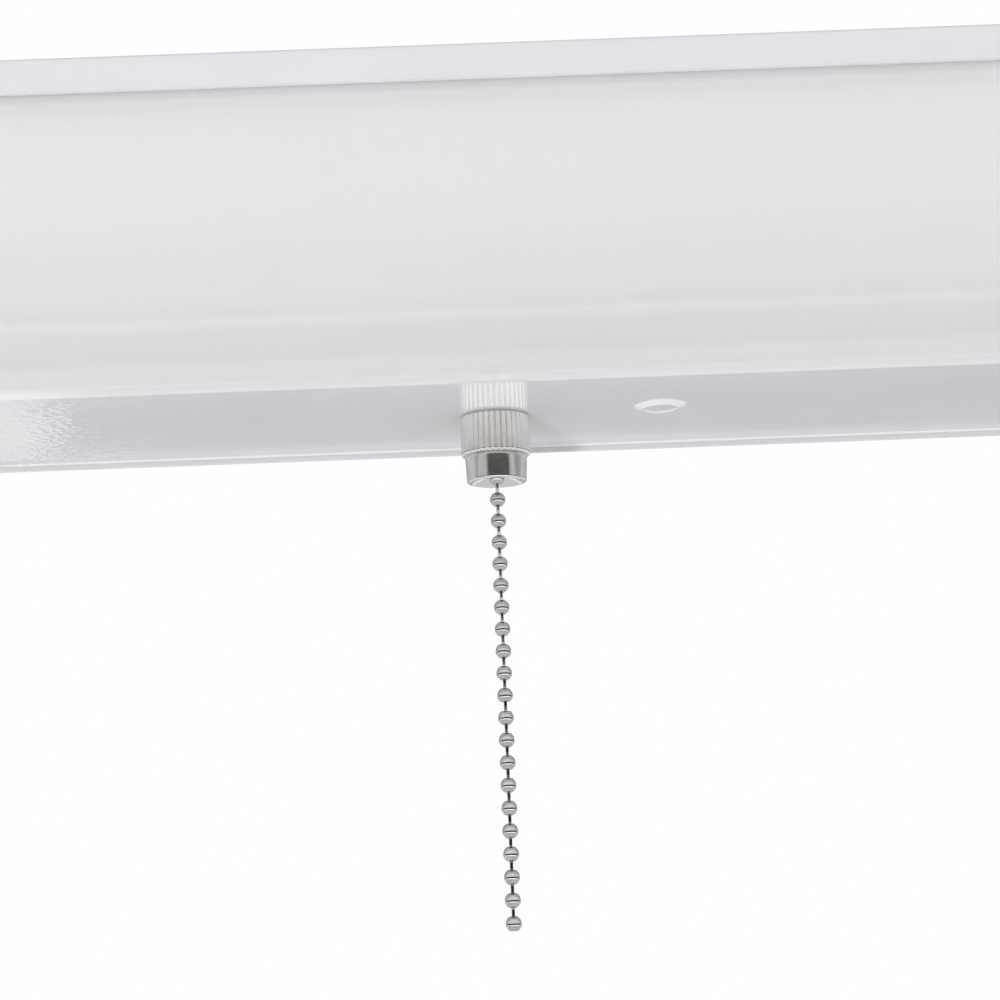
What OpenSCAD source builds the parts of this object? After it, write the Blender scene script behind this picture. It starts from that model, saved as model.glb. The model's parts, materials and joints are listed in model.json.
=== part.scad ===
// Pull-chain fluorescent closet light for a ceiling: folded steel body, opal side lens, one 18-inch tube.
// X runs along the tube, +Y points to the back wall, Z = 0 is the face against the ceiling.

/* [Body] */
// Overall length, end cap to end cap
body_l = 476; // [472:1:560]
// Overall depth, band face to back wall
body_d = 88; // [86:1:110]
// Height from the ceiling down to the face of the bottom cover
cover_drop = 56.8; // [56:0.2:70]
// Thickness of the folded steel sheet
sheet_t = 0.8; // [0.6:0.1:1]
// Height of the band, the front lip of the ceiling plate
band_h = 7.8; // [7:0.2:9]
// Outer radius of the body's long folds
fold_r = 3; // [2:0.5:3]
// How far the back wall reaches below the bottom cover
back_lip = 1.6; // [1:0.2:3]
// Thickness of the end caps
cap_t = 2.5; // [2:0.5:4]

/* [Bottom cover] */
// Distance of the cover's front edge behind the band face
cover_front = 17; // [16:0.5:18]
// Height of the cover's front return
front_return = 6; // [4:0.5:8]
// Height of the cover's back flange
back_flange = 9; // [7:0.5:12]
// Distance of the cover screws from the middle
cover_screw_x = 205; // [190:1:212]
// Place of the bonding stud along the cover, from the middle
stud_x = 34.4; // [30:0.2:40]
// Distance of the bonding stud in front of the switch
stud_offset = 4.4; // [4:0.2:6]
// Diameter of the stud's coned head where it meets the cover
stud_head_d = 11; // [9:0.5:12]

/* [Lens] */
// Wall thickness of the opal lens
lens_t = 1.8; // [1.6:0.1:2]
// Outer radius of the lens's bottom corner
lens_corner_r = 12; // [10:1:14]
// Radius of the bow in the lens's front wall
lens_bow_r = 150; // [140:10:200]
// Distance of the lens's fullest line behind the band face
lens_set_back = 1.6; // [1.6:0.1:2.2]
// How far the lens's flange laps under the cover
lens_lap = 4; // [3:0.5:5]
// Radius of the bead along the lens's top edge
bead_r = 2; // [1.8:0.1:2]
// Distance of the lens clips from the middle
clip_x = 190; // [150:1:198]

/* [Lamp] */
// Lamp length, cap face to cap face
lamp_l = 437.4; // [430:0.1:438]
// Diameter of the lamp's glass tube
lamp_d = 25.4; // [24:0.1:26]
// Distance of the lamp's axis behind the band face
lamp_back = 22; // [21.6:0.1:23]
// Distance of the lamp's axis below the ceiling
lamp_drop = 29; // [27:0.5:32]
// Length of the lamp's metal end caps
lamp_cap_l = 10; // [8:1:14]
// Distance between the lamp's two pins
pin_gap = 12.7; // [12.5:0.1:12.9]
// Diameter of a lamp pin
pin_d = 2.35; // [2.2:0.05:2.5]
// Length of a lamp pin
pin_l = 7.1; // [6.8:0.1:7.2]

/* [Pull switch] */
// Distance of the switch's axis behind the band face
switch_back = 56.8; // [56:0.2:60]
// Diameter of the switch's threaded bushing
bushing_d = 9.5; // [9:0.1:10]
// Outer diameter of the nut's knurled part
knurl_d = 14.6; // [13.6:0.2:16]
// Height of the nut's knurled part
knurl_h = 8.5; // [7.5:0.5:10]
// Number of ribs in the knurl
ribs = 36; // [30:1:44]
// Height of the nut's plain skirt
skirt_h = 5.6; // [4.6:0.2:7]
// Diameter of the nut at its mouth
mouth_d = 12.4; // [11:0.1:12.5]
// Travel of the pull chain
pull_travel = 8; // [6:0.5:8]

/* [Chain] */
// Diameter of a chain bead
bead_d = 3.2; // [3:0.1:3.4]
// Distance from bead to bead
bead_pitch = 4.5; // [4.3:0.1:4.8]
// Number of beads that hang below the mouth
hanging_beads = 20; // [14:2:30]

/* [Ceiling mounting] */
// Distance between the two mounting slots
slot_spacing = 380; // [340:1:384]
// Length of a mounting slot, end to end
slot_l = 14; // [10:1:20]
// Width of a mounting slot
slot_w = 5.2; // [4.5:0.1:6]
// Diameter of the supply entry hole
entry_d = 22.2; // [18:0.1:24]

/* [Hidden] */

$fn = 48;
// Overlap that joins the shapes of one solid
eps = 0.01;
// Gap between parts that slip together
slip = 0.2;
// Radial clearance of turning and screwed fits
run_fit = 0.05;

// Planes of the body
front_y = -body_d / 2;
back_y = body_d / 2;
inner_back_y = back_y - sheet_t;
plate_z = -sheet_t;
cover_z = -cover_drop;
cover_top_z = cover_z + sheet_t;
housing_l = body_l - 2 * cap_t;
wall_h = cover_drop + back_lip;
fold_in_r = fold_r - sheet_t;

// Places of the cover's parts
switch_y = front_y + switch_back;
stud_y = switch_y - stud_offset;
cover_gap = 0.3;
cover_front_y = front_y + cover_front;
cover_back_y = inner_back_y - slip;
cover_fold_r = 1.4;
cover_screw_y = switch_y - stud_offset;

// Ceiling plate's holes and the end caps
slot_offset = 7.2;
slot_y = switch_y + slot_offset;
entry_x = 48;
cap_screw_z = [-16, -42];
cap_screw_inset = 6;
cap_screw_x = housing_l / 2 - cap_screw_inset;
cap_screw_l = 7;
cap_drop = 2.8;
cap_boss = 8;
cap_boss_l = 10;
ledge_offset = 12;
ledge_l = 3;
ledge_w = 24;
ledge_t = 2;

// Bonding stud, its nut and the ring terminal
stud_r = 2.08;
stud_l = 11;
stud_head_h = 0.7;
stud_cone = 1.8;
stud_nut_r = 4.1;
stud_nut_h = 3;
ring_r = 3.8;
ring_t = 0.9;
ring_neck_w = 3;
barrel_y = 5;
barrel_z = 2.6;
barrel_r = 1.7;
barrel_l = 4;
barrel_neck_w = 2;

// Screws
screw_r = 1.6;
screw_head_r = 3.2;
screw_head_h = 2.1;
screw_slack = 0.2;
cover_screw_l = 8;

// Divider between the lamp and the wiring
divider_back = 41.2;
divider_y = front_y + divider_back;
divider_l = lamp_l - 13.4;
divider_top_w = 6;
ear_w = 24;
ear_d = 19;

// Reflector behind the lamp
reflector_t = 0.5;
reflector_r = 10;
reflector_z = plate_z - 1.2;
reflector_front = 16;
reflector_front_y = front_y + reflector_front;
reflector_bottom_z = cover_top_z + 4;
rivet_r = 1.5;
rivet_head_r = 2.8;
rivet_head_h = 0.9;
rivet_x = 150;

// Lens
lens_z = cover_z - slip - lens_t;
lens_end_y = cover_front_y + lens_lap;
lens_l = housing_l - 1;
lens_full_z = -24;
lens_wall_top = -band_h - 0.5;
bow_c = [front_y + lens_set_back + lens_bow_r, lens_full_z];
corner_z = lens_z + lens_corner_r;
corner_rise = lens_full_z - corner_z;
corner_run = sqrt(pow(lens_bow_r - lens_corner_r, 2) - pow(corner_rise, 2));
corner_c = [bow_c[0] - corner_run, corner_z];
bead_c = [front_y + sheet_t + 5, -band_h + 3.1];
rail_t = 0.7;
rail_flange = 6.5;

// Lens clips
clip_w = 10;
clip_t = 0.5;
clip_foot = 11;
clip_reach = 4;
clip_slope = 1.5;
clip_y = lens_end_y + 0.4;
clip_rivet_y = clip_y + 6.5;

// Lamp and lampholders
lamp_y = front_y + lamp_back;
lamp_z = -lamp_drop;
lamp_cap_d = lamp_d + 0.6;
glass_t = 0.8;
holder_gap = 0.4;
holder_x = lamp_l / 2 + holder_gap;
holder_t = 12.4;
holder_r = 12;
holder_wall = 2;
rotor_r = 8;
rotor_l = 6.7;
rotor_floor = 1.4;
rotor_slot = pin_d + 0.35;
rotor_notch = 3.8;
entry_slot = 3;
contact_t = 0.4;
contact_gap = 0.3;

// Ballast
ballast_size = [90, 34, 30];
ballast_x = -115;
ballast_y = (divider_y + inner_back_y) / 2 + 0.6;
ballast_wall = 1;
ballast_foot = 12;
ballast_foot_w = 20;
ballast_foot_t = 1;
ballast_stud_r = 1.9;
ballast_stud_l = 7.5;
ballast_nut_r = 3.9;
ballast_nut_h = 3;
ballast_stud_x = (ballast_size[0] + ballast_foot) / 2;
core_size = [70, 22, 26];
leg_h = 8;
window_h = 6;
window_l = 46;

// Starter
starter_r = 10.7;
starter_l = 36;
starter_x = 118;
starter_offset = 11.2;
starter_y = switch_y + starter_offset;
starter_z = -26;
socket_l = 12;
socket_w = 24;
socket_foot_w = 12;
starter_pin_r = 1.2;
starter_pin_c = 6.4;
starter_pin_l = 8;
starter_groove = 1.9;

// Terminal block
block_size = [28, 12, 13];
block_x = -38;
block_offset = 19.2;
block_y = switch_y + block_offset;
pole_pitch = 8.5;

// Switch
switch_w = 30;
switch_d = 19;
switch_h = 27.8;
switch_wall = 1.6;
washer_t = 0.6;
switch_z = cover_top_z + washer_t;
floor_t = 1.8;
floor_z = switch_z + floor_t;
bushing_r = bushing_d / 2;
bushing_flange_r = 6.4;
bushing_flange_h = 1.5;
bushing_bore_r = 2.3;
nut_top_z = cover_z;
nut_bottom_z = nut_top_z - knurl_h - skirt_h;
nut_skirt_step = 0.85;
nut_skirt_r = knurl_d / 2 - nut_skirt_step;
mouth_r = mouth_d / 2;
bushing_end_z = nut_bottom_z + 3.3;
rib_depth = 0.45;

// Chain: the bead in the nut's mouth sets the rest
mouth_bead_z = nut_bottom_z + 0.9;
inner_bead_n = 4;
bead_wall = 0.3;
bead_hole_r = 0.85;
link_r = 0.35;
link_ball_r = 1.05;
head_gap = 0.3;
upper_n = hanging_beads / 2;
lower_n = hanging_beads - upper_n;
first_bead_z = mouth_bead_z - bead_pitch;
lower_bead_z = first_bead_z - upper_n * bead_pitch;
stem_socket_z = mouth_bead_z + inner_bead_n * bead_pitch;

// Pull stem, spring and lever
stem_r = bushing_bore_r - 0.08;
collar_r = 4.4;
collar_h = 1;
spring_seat_z = floor_z + bushing_flange_h;
spring_l = pull_travel + 6.5;
collar_z = spring_seat_z + spring_l;
drive_pin_r = 0.8;
drive_pin_z = collar_z + collar_h + 4;
stem_top_z = drive_pin_z + 1.6;
pivot_x = 9;
pivot_z = drive_pin_z - pull_travel / 2;
axle_r = 1;
lever_t = 1.2;
lever_y = switch_y + 5;
lever_hub_r = 3;
lever_arm_w = 4.4;
lever_l = norm([pivot_x, pull_travel / 2]);
lever_angle = atan2(pull_travel / 2, -pivot_x);
contact_rotor_r = 4;

// Return spring
spring_r = 3.3;
spring_wire_r = 0.35;
spring_turns = 6;
spring_rings = 8;
spring_sides = 6;

// Internal leads
lead_r = 1.1;
lead_sides = 8;
lead_gap = 0.1;
lead_end_y = lamp_y + holder_r + lead_gap;
lead_end_x = holder_x + 6;

// Routes of the leads, from where each one starts to where it ends
supply_live_route = [[-31, block_y - block_size[1] / 2 - lead_gap, -8], [-31, 20, -8], [-24, 15, -10],
    [-10, switch_y, -14], [2, switch_y, -18], [6, switch_y, -22],
    [6, switch_y, switch_z + switch_h + lead_gap]];
supply_neutral_route = [[block_x + block_size[0] / 2 + lead_gap, 33, -8], [-20, 33, -8], [-10, 35, -8],
    [20, 37.5, -6], [60, 38, -6], [110, 38.5, -6], [160, 36, -8], [190, 33, -12], [207, 20, -20],
    [218, 6, -25],
    [lead_end_x, -3, -25], [lead_end_x, lead_end_y, -25]];
switch_ballast_route = [[-6, switch_y, switch_z + switch_h + lead_gap], [-6, switch_y, -22], [-12, 12, -19],
    [-30, 12, -20], [-50, 14, -21], [-60, 16, -22],
    [ballast_x + ballast_size[0] / 2 + lead_gap, 16, -22]];
ballast_lamp_route = [[ballast_x - ballast_size[0] / 2 - lead_gap, 16, -22], [-164, 16, -22],
    [-172, 14, -22], [-190, 8, -24],
    [-205, 5, -25], [-218, 2, -25], [-lead_end_x, -3, -25], [-lead_end_x, lead_end_y, -25]];
lamp_starter_route = [[-lead_end_x, lead_end_y, -35], [-lead_end_x, -4, -36], [-218, 1, -38],
    [-205, 1.2, -42], [-150, 0.6, -45], [-60, 0.6, -45], [0, 0.6, -45], [60, 0.6, -45], [100, 0.6, -45],
    [125, 1.5, -43], [138, 6, -38], [144, 12, -32], [141, 17, -28.5], [135, 18, -28],
    [starter_x + socket_l + lead_gap, 18, -28]];
starter_lamp_route = [[starter_x + socket_l + lead_gap, 30, -28], [140, 30, -28], [165, 22, -28],
    [192, 10, -30], [212, 4, -33], [lead_end_x, -3, -35], [lead_end_x, lead_end_y, -35]];
bonding_route = [[stud_x, stud_y + barrel_y + barrel_l + lead_gap, cover_top_z + barrel_z],
    [stud_x, stud_y + barrel_y + barrel_l + 2.5, cover_top_z + barrel_z], [33, 24, -50], [28, 29, -42],
    [16, 33, -30], [2, 31, -18], [-10, 28.4, -9], [-19, 28.2, -8],
    [block_x + block_size[0] / 2 + lead_gap, 28.2, -8]];

// Extrudes a (Y, Z) outline along X, centred
module along_x(length) {
    rotate([90, 0, 90]) linear_extrude(length, center = true) children();
}

// A cylinder along X that starts at x and runs towards +X
module rod_x(r, length) {
    rotate([0, 90, 0]) cylinder(r = r, h = length);
}

// A cylinder along Y that runs towards +Y
module rod_y(r, length) {
    rotate([-90, 0, 0]) cylinder(r = r, h = length);
}

// The same piece at both ends
module both_ends() {
    children();
    mirror([1, 0, 0]) children();
}

// Rectangle in (Y, Z) with rounded top corners
module round_top(y0, y1, z0, z1, r) {
    translate([y0, z0]) square([y1 - y0, z1 - r - z0]);
    translate([y0 + r, z0]) square([y1 - y0 - 2 * r, z1 - z0]);
    translate([y0 + r, z1 - r]) circle(r);
    translate([y1 - r, z1 - r]) circle(r);
}

// Trims one bottom corner to a radius; side is 1 at the front and -1 at the back
module corner_cut(y, z, r, side) {
    difference() {
        translate([y + side * (r / 2 - eps), z + r / 2 - eps]) square(r + 2 * eps, center = true);
        translate([y + side * r, z + r]) circle(r);
    }
}

// Pan-head screw, head below and shank up, from the face under its head
module pan_screw(length) {
    cylinder(r = screw_r, h = length);
    difference() {
        translate([0, 0, -screw_head_h])
            cylinder(r1 = screw_head_r - 0.7, r2 = screw_head_r, h = screw_head_h);
        for (turn = [0, 90]) rotate(turn)
            translate([-1.9, -0.35, -screw_head_h - eps]) cube([3.8, 0.7, 1.1]);
    }
}

// Tube of several flat sides swept along a list of points
function unit(v) = v / norm(v);
function point_at(route, i) = route[max(0, min(len(route) - 1, i))];
function ring_points(route, i, r, sides, up) =
    let (along = unit(point_at(route, i + 1) - point_at(route, i - 1)))
    let (side = unit(cross(along, up)), top = cross(side, along))
    [for (k = [0 : sides - 1]) route[i] + r * (cos(360 * k / sides) * side + sin(360 * k / sides) * top)];
function tube_points(route, r, sides, up) =
    [for (i = [0 : len(route) - 1]) each ring_points(route, i, r, sides, up)];
function tube_faces(rings, sides) = concat(
    [for (i = [0 : rings - 2], k = [0 : sides - 1])
        [i * sides + k, i * sides + (k + 1) % sides, (i + 1) * sides + k]],
    [for (i = [0 : rings - 2], k = [0 : sides - 1])
        [i * sides + (k + 1) % sides, (i + 1) * sides + (k + 1) % sides, (i + 1) * sides + k]],
    [for (k = [1 : sides - 2]) [0, k + 1, k]],
    [for (k = [1 : sides - 2]) [(rings - 1) * sides, (rings - 1) * sides + k, (rings - 1) * sides + k + 1]]);
module swept_tube(route, r, sides, up) {
    polyhedron(tube_points(route, r, sides, up), tube_faces(len(route), sides), convexity = 8);
}
module lead(route) {
    swept_tube(route, lead_r, lead_sides, [0.3, 1, 0.5]);
}

// Folded ceiling plate, front band and back wall in one sheet
module housing_outline() {
    difference() {
        round_top(front_y, back_y, -wall_h, 0, fold_r);
        round_top(front_y + sheet_t, inner_back_y, -wall_h - 1, plate_z, fold_in_r);
        translate([front_y - 1, -wall_h - 1]) square([2 * sheet_t + 1, wall_h + 1 - band_h]);
    }
}

module mounting_slots() {
    for (side = [-1, 1]) translate([side * slot_spacing / 2, slot_y, plate_z - 1]) {
        for (end = [-1, 1]) translate([end * (slot_l - slot_w) / 2, 0, 0])
            cylinder(d = slot_w, h = sheet_t + 2);
        translate([-(slot_l - slot_w) / 2, -slot_w / 2, 0]) cube([slot_l - slot_w, slot_w, sheet_t + 2]);
    }
}

module housing() color("white") difference() {
    along_x(housing_l) housing_outline();
    mounting_slots();
    translate([entry_x, slot_y, plate_z - 1]) cylinder(d = entry_d, h = sheet_t + 2);
    both_ends() for (z = cap_screw_z)
        translate([cap_screw_x, inner_back_y - 1, z]) rod_y(screw_r + screw_slack, sheet_t + 2);
}

// End plate with a locating ledge under the ceiling plate and two screw bosses on the back wall
module end_cap() {
    cap_bottom = cover_z - cap_drop;
    difference() {
        union() {
            translate([housing_l / 2 + cap_t / 2, 0, 0]) along_x(cap_t) difference() {
                round_top(front_y, back_y, cap_bottom, 0, fold_r);
                corner_cut(front_y, cap_bottom, lens_corner_r + 1, 1);
                corner_cut(back_y, cap_bottom, fold_r, -1);
            }
            translate([housing_l / 2 - ledge_l, divider_y + ledge_offset, plate_z - ledge_t])
                cube([ledge_l + eps, ledge_w, ledge_t]);
            for (z = cap_screw_z)
                translate([housing_l / 2 - cap_boss_l, inner_back_y - cap_boss, z - cap_boss / 2])
                    cube([cap_boss_l + eps, cap_boss, cap_boss]);
        }
        for (z = cap_screw_z) translate([cap_screw_x, inner_back_y - cap_boss - 1, z])
            rod_y(screw_r + run_fit, cap_boss + 2);
    }
}
module end_cap_right() color("white") end_cap();
module end_cap_left() color("white") mirror([1, 0, 0]) end_cap();

module end_cap_screws() color("gainsboro") both_ends() for (z = cap_screw_z)
    translate([cap_screw_x, back_y, z]) rotate([90, 0, 0]) pan_screw(cap_screw_l);

// Bottom cover: a shallow steel tray with the switch, stud and screw holes
module bottom_cover() color("white") difference() {
    along_x(housing_l - 2 * cover_gap) difference() {
        mirror([0, 1])
            round_top(cover_front_y, cover_back_y, -cover_z - back_flange, -cover_z, cover_fold_r);
        translate([cover_front_y + sheet_t, cover_top_z]) mirror([0, 1])
            round_top(0, cover_back_y - 2 * sheet_t - cover_front_y, -back_flange - 1, 0,
                cover_fold_r - sheet_t);
        translate([cover_front_y - 1, cover_z + front_return]) square([2 * sheet_t + 1, back_flange]);
    }
    translate([0, switch_y, cover_z - 1]) cylinder(r = bushing_r + 0.1, h = sheet_t + 2);
    translate([stud_x, stud_y, cover_z - 1]) cylinder(r = stud_r + 0.02, h = sheet_t + 2);
    both_ends() translate([cover_screw_x, cover_screw_y, cover_z - 1])
        cylinder(r = screw_r + screw_slack, h = sheet_t + 2);
    both_ends() translate([clip_x, clip_rivet_y, cover_z - 1])
        cylinder(r = rivet_r + run_fit, h = sheet_t + 2);
}

module cover_screws() color("gainsboro") both_ends()
    translate([cover_screw_x, cover_screw_y, cover_z]) pan_screw(cover_screw_l);

// Pressed-in stud that bonds the cover; its flat coned head stands a little proud of the cover's face
module bonding_stud() color("whitesmoke") translate([stud_x, stud_y, cover_z]) {
    translate([0, 0, -stud_head_h])
        cylinder(r1 = stud_head_d / 2 - stud_cone, r2 = stud_head_d / 2, h = stud_head_h);
    translate([0, 0, -eps]) cylinder(r = stud_r, h = stud_l);
}

module bonding_nut() color("silver") translate([stud_x, stud_y, cover_top_z + ring_t + 0.1]) difference() {
    cylinder(r = stud_nut_r, h = stud_nut_h, $fn = 6);
    translate([0, 0, -1]) cylinder(r = stud_r + run_fit, h = stud_nut_h + 2);
}

// Ring terminal on the stud, its barrel gripping the bonding lead
module ring_terminal() color("silver") translate([stud_x, stud_y, cover_top_z]) {
    difference() {
        union() {
            cylinder(r = ring_r, h = ring_t);
            translate([-ring_neck_w / 2, 0, 0]) cube([ring_neck_w, barrel_y + 1, ring_t]);
        }
        translate([0, 0, -1]) cylinder(r = stud_r + run_fit, h = ring_t + 2);
    }
    translate([0, barrel_y, barrel_z]) rod_y(barrel_r, barrel_l);
    translate([-barrel_neck_w / 2, barrel_y, ring_t - 0.4]) cube([barrel_neck_w, 1, barrel_z - ring_t]);
}

// Upright sheet between lamp and wiring, with a welded top flange and two ears for the cover screws
module divider() color("white") difference() {
    union() {
        translate([0, divider_y + sheet_t / 2, (plate_z + cover_top_z) / 2])
            cube([divider_l, sheet_t, plate_z - cover_top_z], center = true);
        translate([-divider_l / 2, divider_y, plate_z - sheet_t]) cube([divider_l, divider_top_w, sheet_t]);
        both_ends() translate([min(cover_screw_x, divider_l / 2) - ear_w / 2, divider_y, cover_top_z])
            cube([ear_w, ear_d, sheet_t]);
    }
    both_ends() translate([cover_screw_x, cover_screw_y, cover_top_z - 1])
        cylinder(r = screw_r + run_fit, h = sheet_t + 2);
    both_ends() translate([rivet_x, divider_y - 1, lamp_z]) rod_y(rivet_r + run_fit, sheet_t + 2);
}

// White reflector: flat over the lamp, curved down the divider
module reflector() color("snow") difference() {
    along_x(divider_l) {
        top_y = divider_y - reflector_r;
        translate([reflector_front_y, reflector_z - reflector_t])
            square([top_y - reflector_front_y + eps, reflector_t]);
        translate([top_y, reflector_z - reflector_r]) intersection() {
            difference() {
                circle(reflector_r);
                circle(reflector_r - reflector_t);
            }
            square(reflector_r + 1);
        }
        translate([divider_y - reflector_t, reflector_bottom_z])
            square([reflector_t, reflector_z - reflector_r - reflector_bottom_z + eps]);
    }
    both_ends() translate([rivet_x, divider_y - 2, lamp_z]) rod_y(rivet_r + run_fit, 4);
}

module reflector_rivets() color("silver") both_ends() translate([rivet_x, divider_y, lamp_z]) {
    translate([0, -reflector_t - rivet_head_h, 0]) rod_y(rivet_head_r, rivet_head_h);
    translate([0, -reflector_t - eps, 0]) rod_y(rivet_r, reflector_t + sheet_t + 1);
}

// Rail welded under the ceiling plate; its curved lip cradles the lens's bead from inside
module lens_rail() color("white") along_x(lamp_l - 2) {
    in_r = bead_r + slip;
    out_r = in_r + rail_t;
    translate(bead_c) intersection() {
        difference() {
            circle(out_r);
            circle(in_r);
        }
        polygon([[0, 0], [out_r + 1, eps], [out_r + 1, -out_r - 1], [0.5, -out_r - 1]]);
    }
    translate([bead_c[0] + in_r, bead_c[1]]) square([rail_t, plate_z - bead_c[1]]);
    translate([bead_c[0] + in_r, plate_z - rail_t]) square([rail_flange, rail_t]);
}

// Opal lens: round bead, neck, bowed front wall, rolled corner and flat bottom flange, as one closed outline
function arc(centre, r, from, to, steps) =
    [for (i = [0 : steps]) let (a = from + (to - from) * i / steps) centre + r * [cos(a), sin(a)]];
function bow_top(r) = 180 - asin((lens_wall_top - lens_full_z) / r);
module lens_outline() {
    in_r = lens_bow_r - lens_t;
    bow_end = 180 + asin(corner_rise / (lens_bow_r - lens_corner_r));
    polygon(concat([[lens_end_y, lens_z]],
        arc(corner_c, lens_corner_r, 270, bow_end, 16),
        arc(bow_c, lens_bow_r, bow_end - 0.5, bow_top(lens_bow_r), 20),
        arc(bead_c, bead_r, 190, -85, 24),
        arc(bow_c, in_r, bow_top(in_r), bow_end - 0.5, 20),
        arc(corner_c, lens_corner_r - lens_t, bow_end, 270, 16),
        [[lens_end_y, lens_z + lens_t]]));
}
module lens() color("white") along_x(lens_l) lens_outline();

// Spring clips under the cover whose sloped fingers hold up the lens's flange
module lens_clips() color("silver") both_ends() difference() {
    finger_z = lens_z - slip;
    translate([clip_x, 0, 0]) along_x(clip_w) polygon([[clip_y + clip_foot, cover_z],
        [clip_y + clip_foot, cover_z - clip_t], [clip_y + clip_t, cover_z - clip_t],
        [clip_y + clip_t, finger_z - clip_t], [clip_y, finger_z - clip_t],
        [clip_y - clip_reach, finger_z - clip_slope - clip_t], [clip_y - clip_reach, finger_z - clip_slope],
        [clip_y, finger_z], [clip_y, cover_z]]);
    translate([clip_x, clip_rivet_y, cover_z - 2]) cylinder(r = rivet_r + run_fit, h = 4);
}

module clip_rivets() color("silver") both_ends() translate([clip_x, clip_rivet_y, cover_z - clip_t]) {
    translate([0, 0, -rivet_head_h]) cylinder(r = rivet_head_r, h = rivet_head_h);
    translate([0, 0, -eps]) cylinder(r = rivet_r, h = clip_t + sheet_t + 1);
}

// Lampholder with a recess for the rotor, an entry slot to the front and room for the contacts
module lampholder() {
    inner_l = holder_t - holder_wall;
    difference() {
        union() {
            translate([holder_x, lamp_y, lamp_z]) rod_x(holder_r, holder_t);
            translate([holder_x, lamp_y - holder_r, lamp_z])
                cube([holder_t, 2 * holder_r, plate_z - lamp_z]);
        }
        translate([holder_x - 1, lamp_y, lamp_z]) rod_x(rotor_r + run_fit, inner_l + 1);
        translate([holder_x - 1, lamp_y - holder_r - 1, lamp_z - entry_slot / 2])
            cube([pin_l + 1.6, holder_r + 1, entry_slot]);
    }
}
module lampholder_right() color("white") lampholder();
module lampholder_left() color("white") mirror([1, 0, 0]) lampholder();

// Rotor: a disc whose slot takes both pins; the hub's floor keeps its halves together
module holder_rotor() {
    translate([holder_x + 0.2, lamp_y, lamp_z]) difference() {
        rod_x(rotor_r, rotor_l);
        translate([-1, -rotor_slot / 2, -rotor_r - 1])
            cube([rotor_l - rotor_floor + 1, rotor_slot, 2 * rotor_r + 2]);
        for (side = [-1, 1]) translate([-1, -rotor_slot / 2, side * pin_gap / 2 - rotor_notch / 2])
            cube([rotor_l + 2, rotor_slot, rotor_notch]);
    }
}
module holder_rotor_right() color("ivory") holder_rotor();
module holder_rotor_left() color("ivory") mirror([1, 0, 0]) holder_rotor();

// Bronze leaves behind the pins, each on a leg from the holder's back wall
module holder_contacts() {
    leaf_x = holder_x + 0.2 + rotor_l + contact_gap;
    leg_l = holder_x + holder_t - holder_wall - leaf_x;
    translate([leaf_x, lamp_y, lamp_z]) for (side = [-1, 1]) {
        translate([0, -2, side * pin_gap / 2 - 1]) cube([contact_t, 4, 2]);
        translate([0, -2, side * pin_gap / 2 - 1]) cube([leg_l, contact_t, 2]);
    }
}
module holder_contacts_right() color("peru") holder_contacts();
module holder_contacts_left() color("peru") mirror([1, 0, 0]) holder_contacts();

module lamp_tube() color("white") translate([-(lamp_l / 2 - 2), lamp_y, lamp_z]) difference() {
    rod_x(lamp_d / 2, lamp_l - 4);
    translate([1, 0, 0]) rod_x(lamp_d / 2 - glass_t, lamp_l - 6);
}

module lamp_cap() {
    translate([lamp_l / 2 - lamp_cap_l, lamp_y, lamp_z]) difference() {
        rod_x(lamp_cap_d / 2, lamp_cap_l);
        translate([-1, 0, 0]) rod_x(lamp_d / 2 + run_fit, lamp_cap_l - 1 + eps);
        for (side = [-1, 1]) translate([-1, 0, side * pin_gap / 2])
            rod_x(pin_d / 2 + run_fit, lamp_cap_l + 2);
    }
}
module lamp_cap_right() color("silver") lamp_cap();
module lamp_cap_left() color("silver") mirror([1, 0, 0]) lamp_cap();

module lamp_pins() color("gold") both_ends() for (side = [-1, 1])
    translate([lamp_l / 2 - 0.9, lamp_y, lamp_z + side * pin_gap / 2]) rod_x(pin_d / 2, pin_l + 0.9);

// Steel ballast can with two feet, its laminated core and its winding
module ballast_case() color("dimgray") translate([ballast_x, ballast_y, plate_z]) difference() {
    union() {
        translate([-ballast_size[0] / 2, -ballast_size[1] / 2, -ballast_size[2]]) cube(ballast_size);
        translate([-ballast_size[0] / 2 - ballast_foot, -ballast_foot_w / 2, -ballast_foot_t])
            cube([ballast_size[0] + 2 * ballast_foot, ballast_foot_w, ballast_foot_t]);
    }
    translate([-ballast_size[0] / 2 + ballast_wall, -ballast_size[1] / 2 + ballast_wall,
        -ballast_size[2] + ballast_wall])
        cube([ballast_size[0] - 2 * ballast_wall, ballast_size[1] - 2 * ballast_wall, ballast_size[2]]);
    for (side = [-1, 1]) translate([side * ballast_stud_x, 0, -3])
        cylinder(r = ballast_stud_r + 0.2, h = 4);
}

core_z = plate_z - ballast_size[2] + ballast_wall + core_size[2] / 2 + 0.1;
module ballast_core() color("slategray") translate([ballast_x, ballast_y, core_z]) difference() {
    cube(core_size, center = true);
    for (side = [-1, 1]) translate([0, 0, side * (leg_h + window_h) / 2])
        cube([window_l, core_size[1] + 2, window_h], center = true);
}

module ballast_coil() color("saddlebrown") translate([ballast_x, ballast_y, core_z]) difference() {
    cube([window_l - 2, ballast_size[1] - 2 * ballast_wall - 0.6, leg_h + 2 * window_h - 0.4], center = true);
    cube([window_l, core_size[1] + 0.4, leg_h + 0.4], center = true);
}

module ballast_studs() color("silver") for (side = [-1, 1])
    translate([ballast_x + side * ballast_stud_x, ballast_y, plate_z - ballast_stud_l])
        cylinder(r = ballast_stud_r, h = ballast_stud_l);

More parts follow.
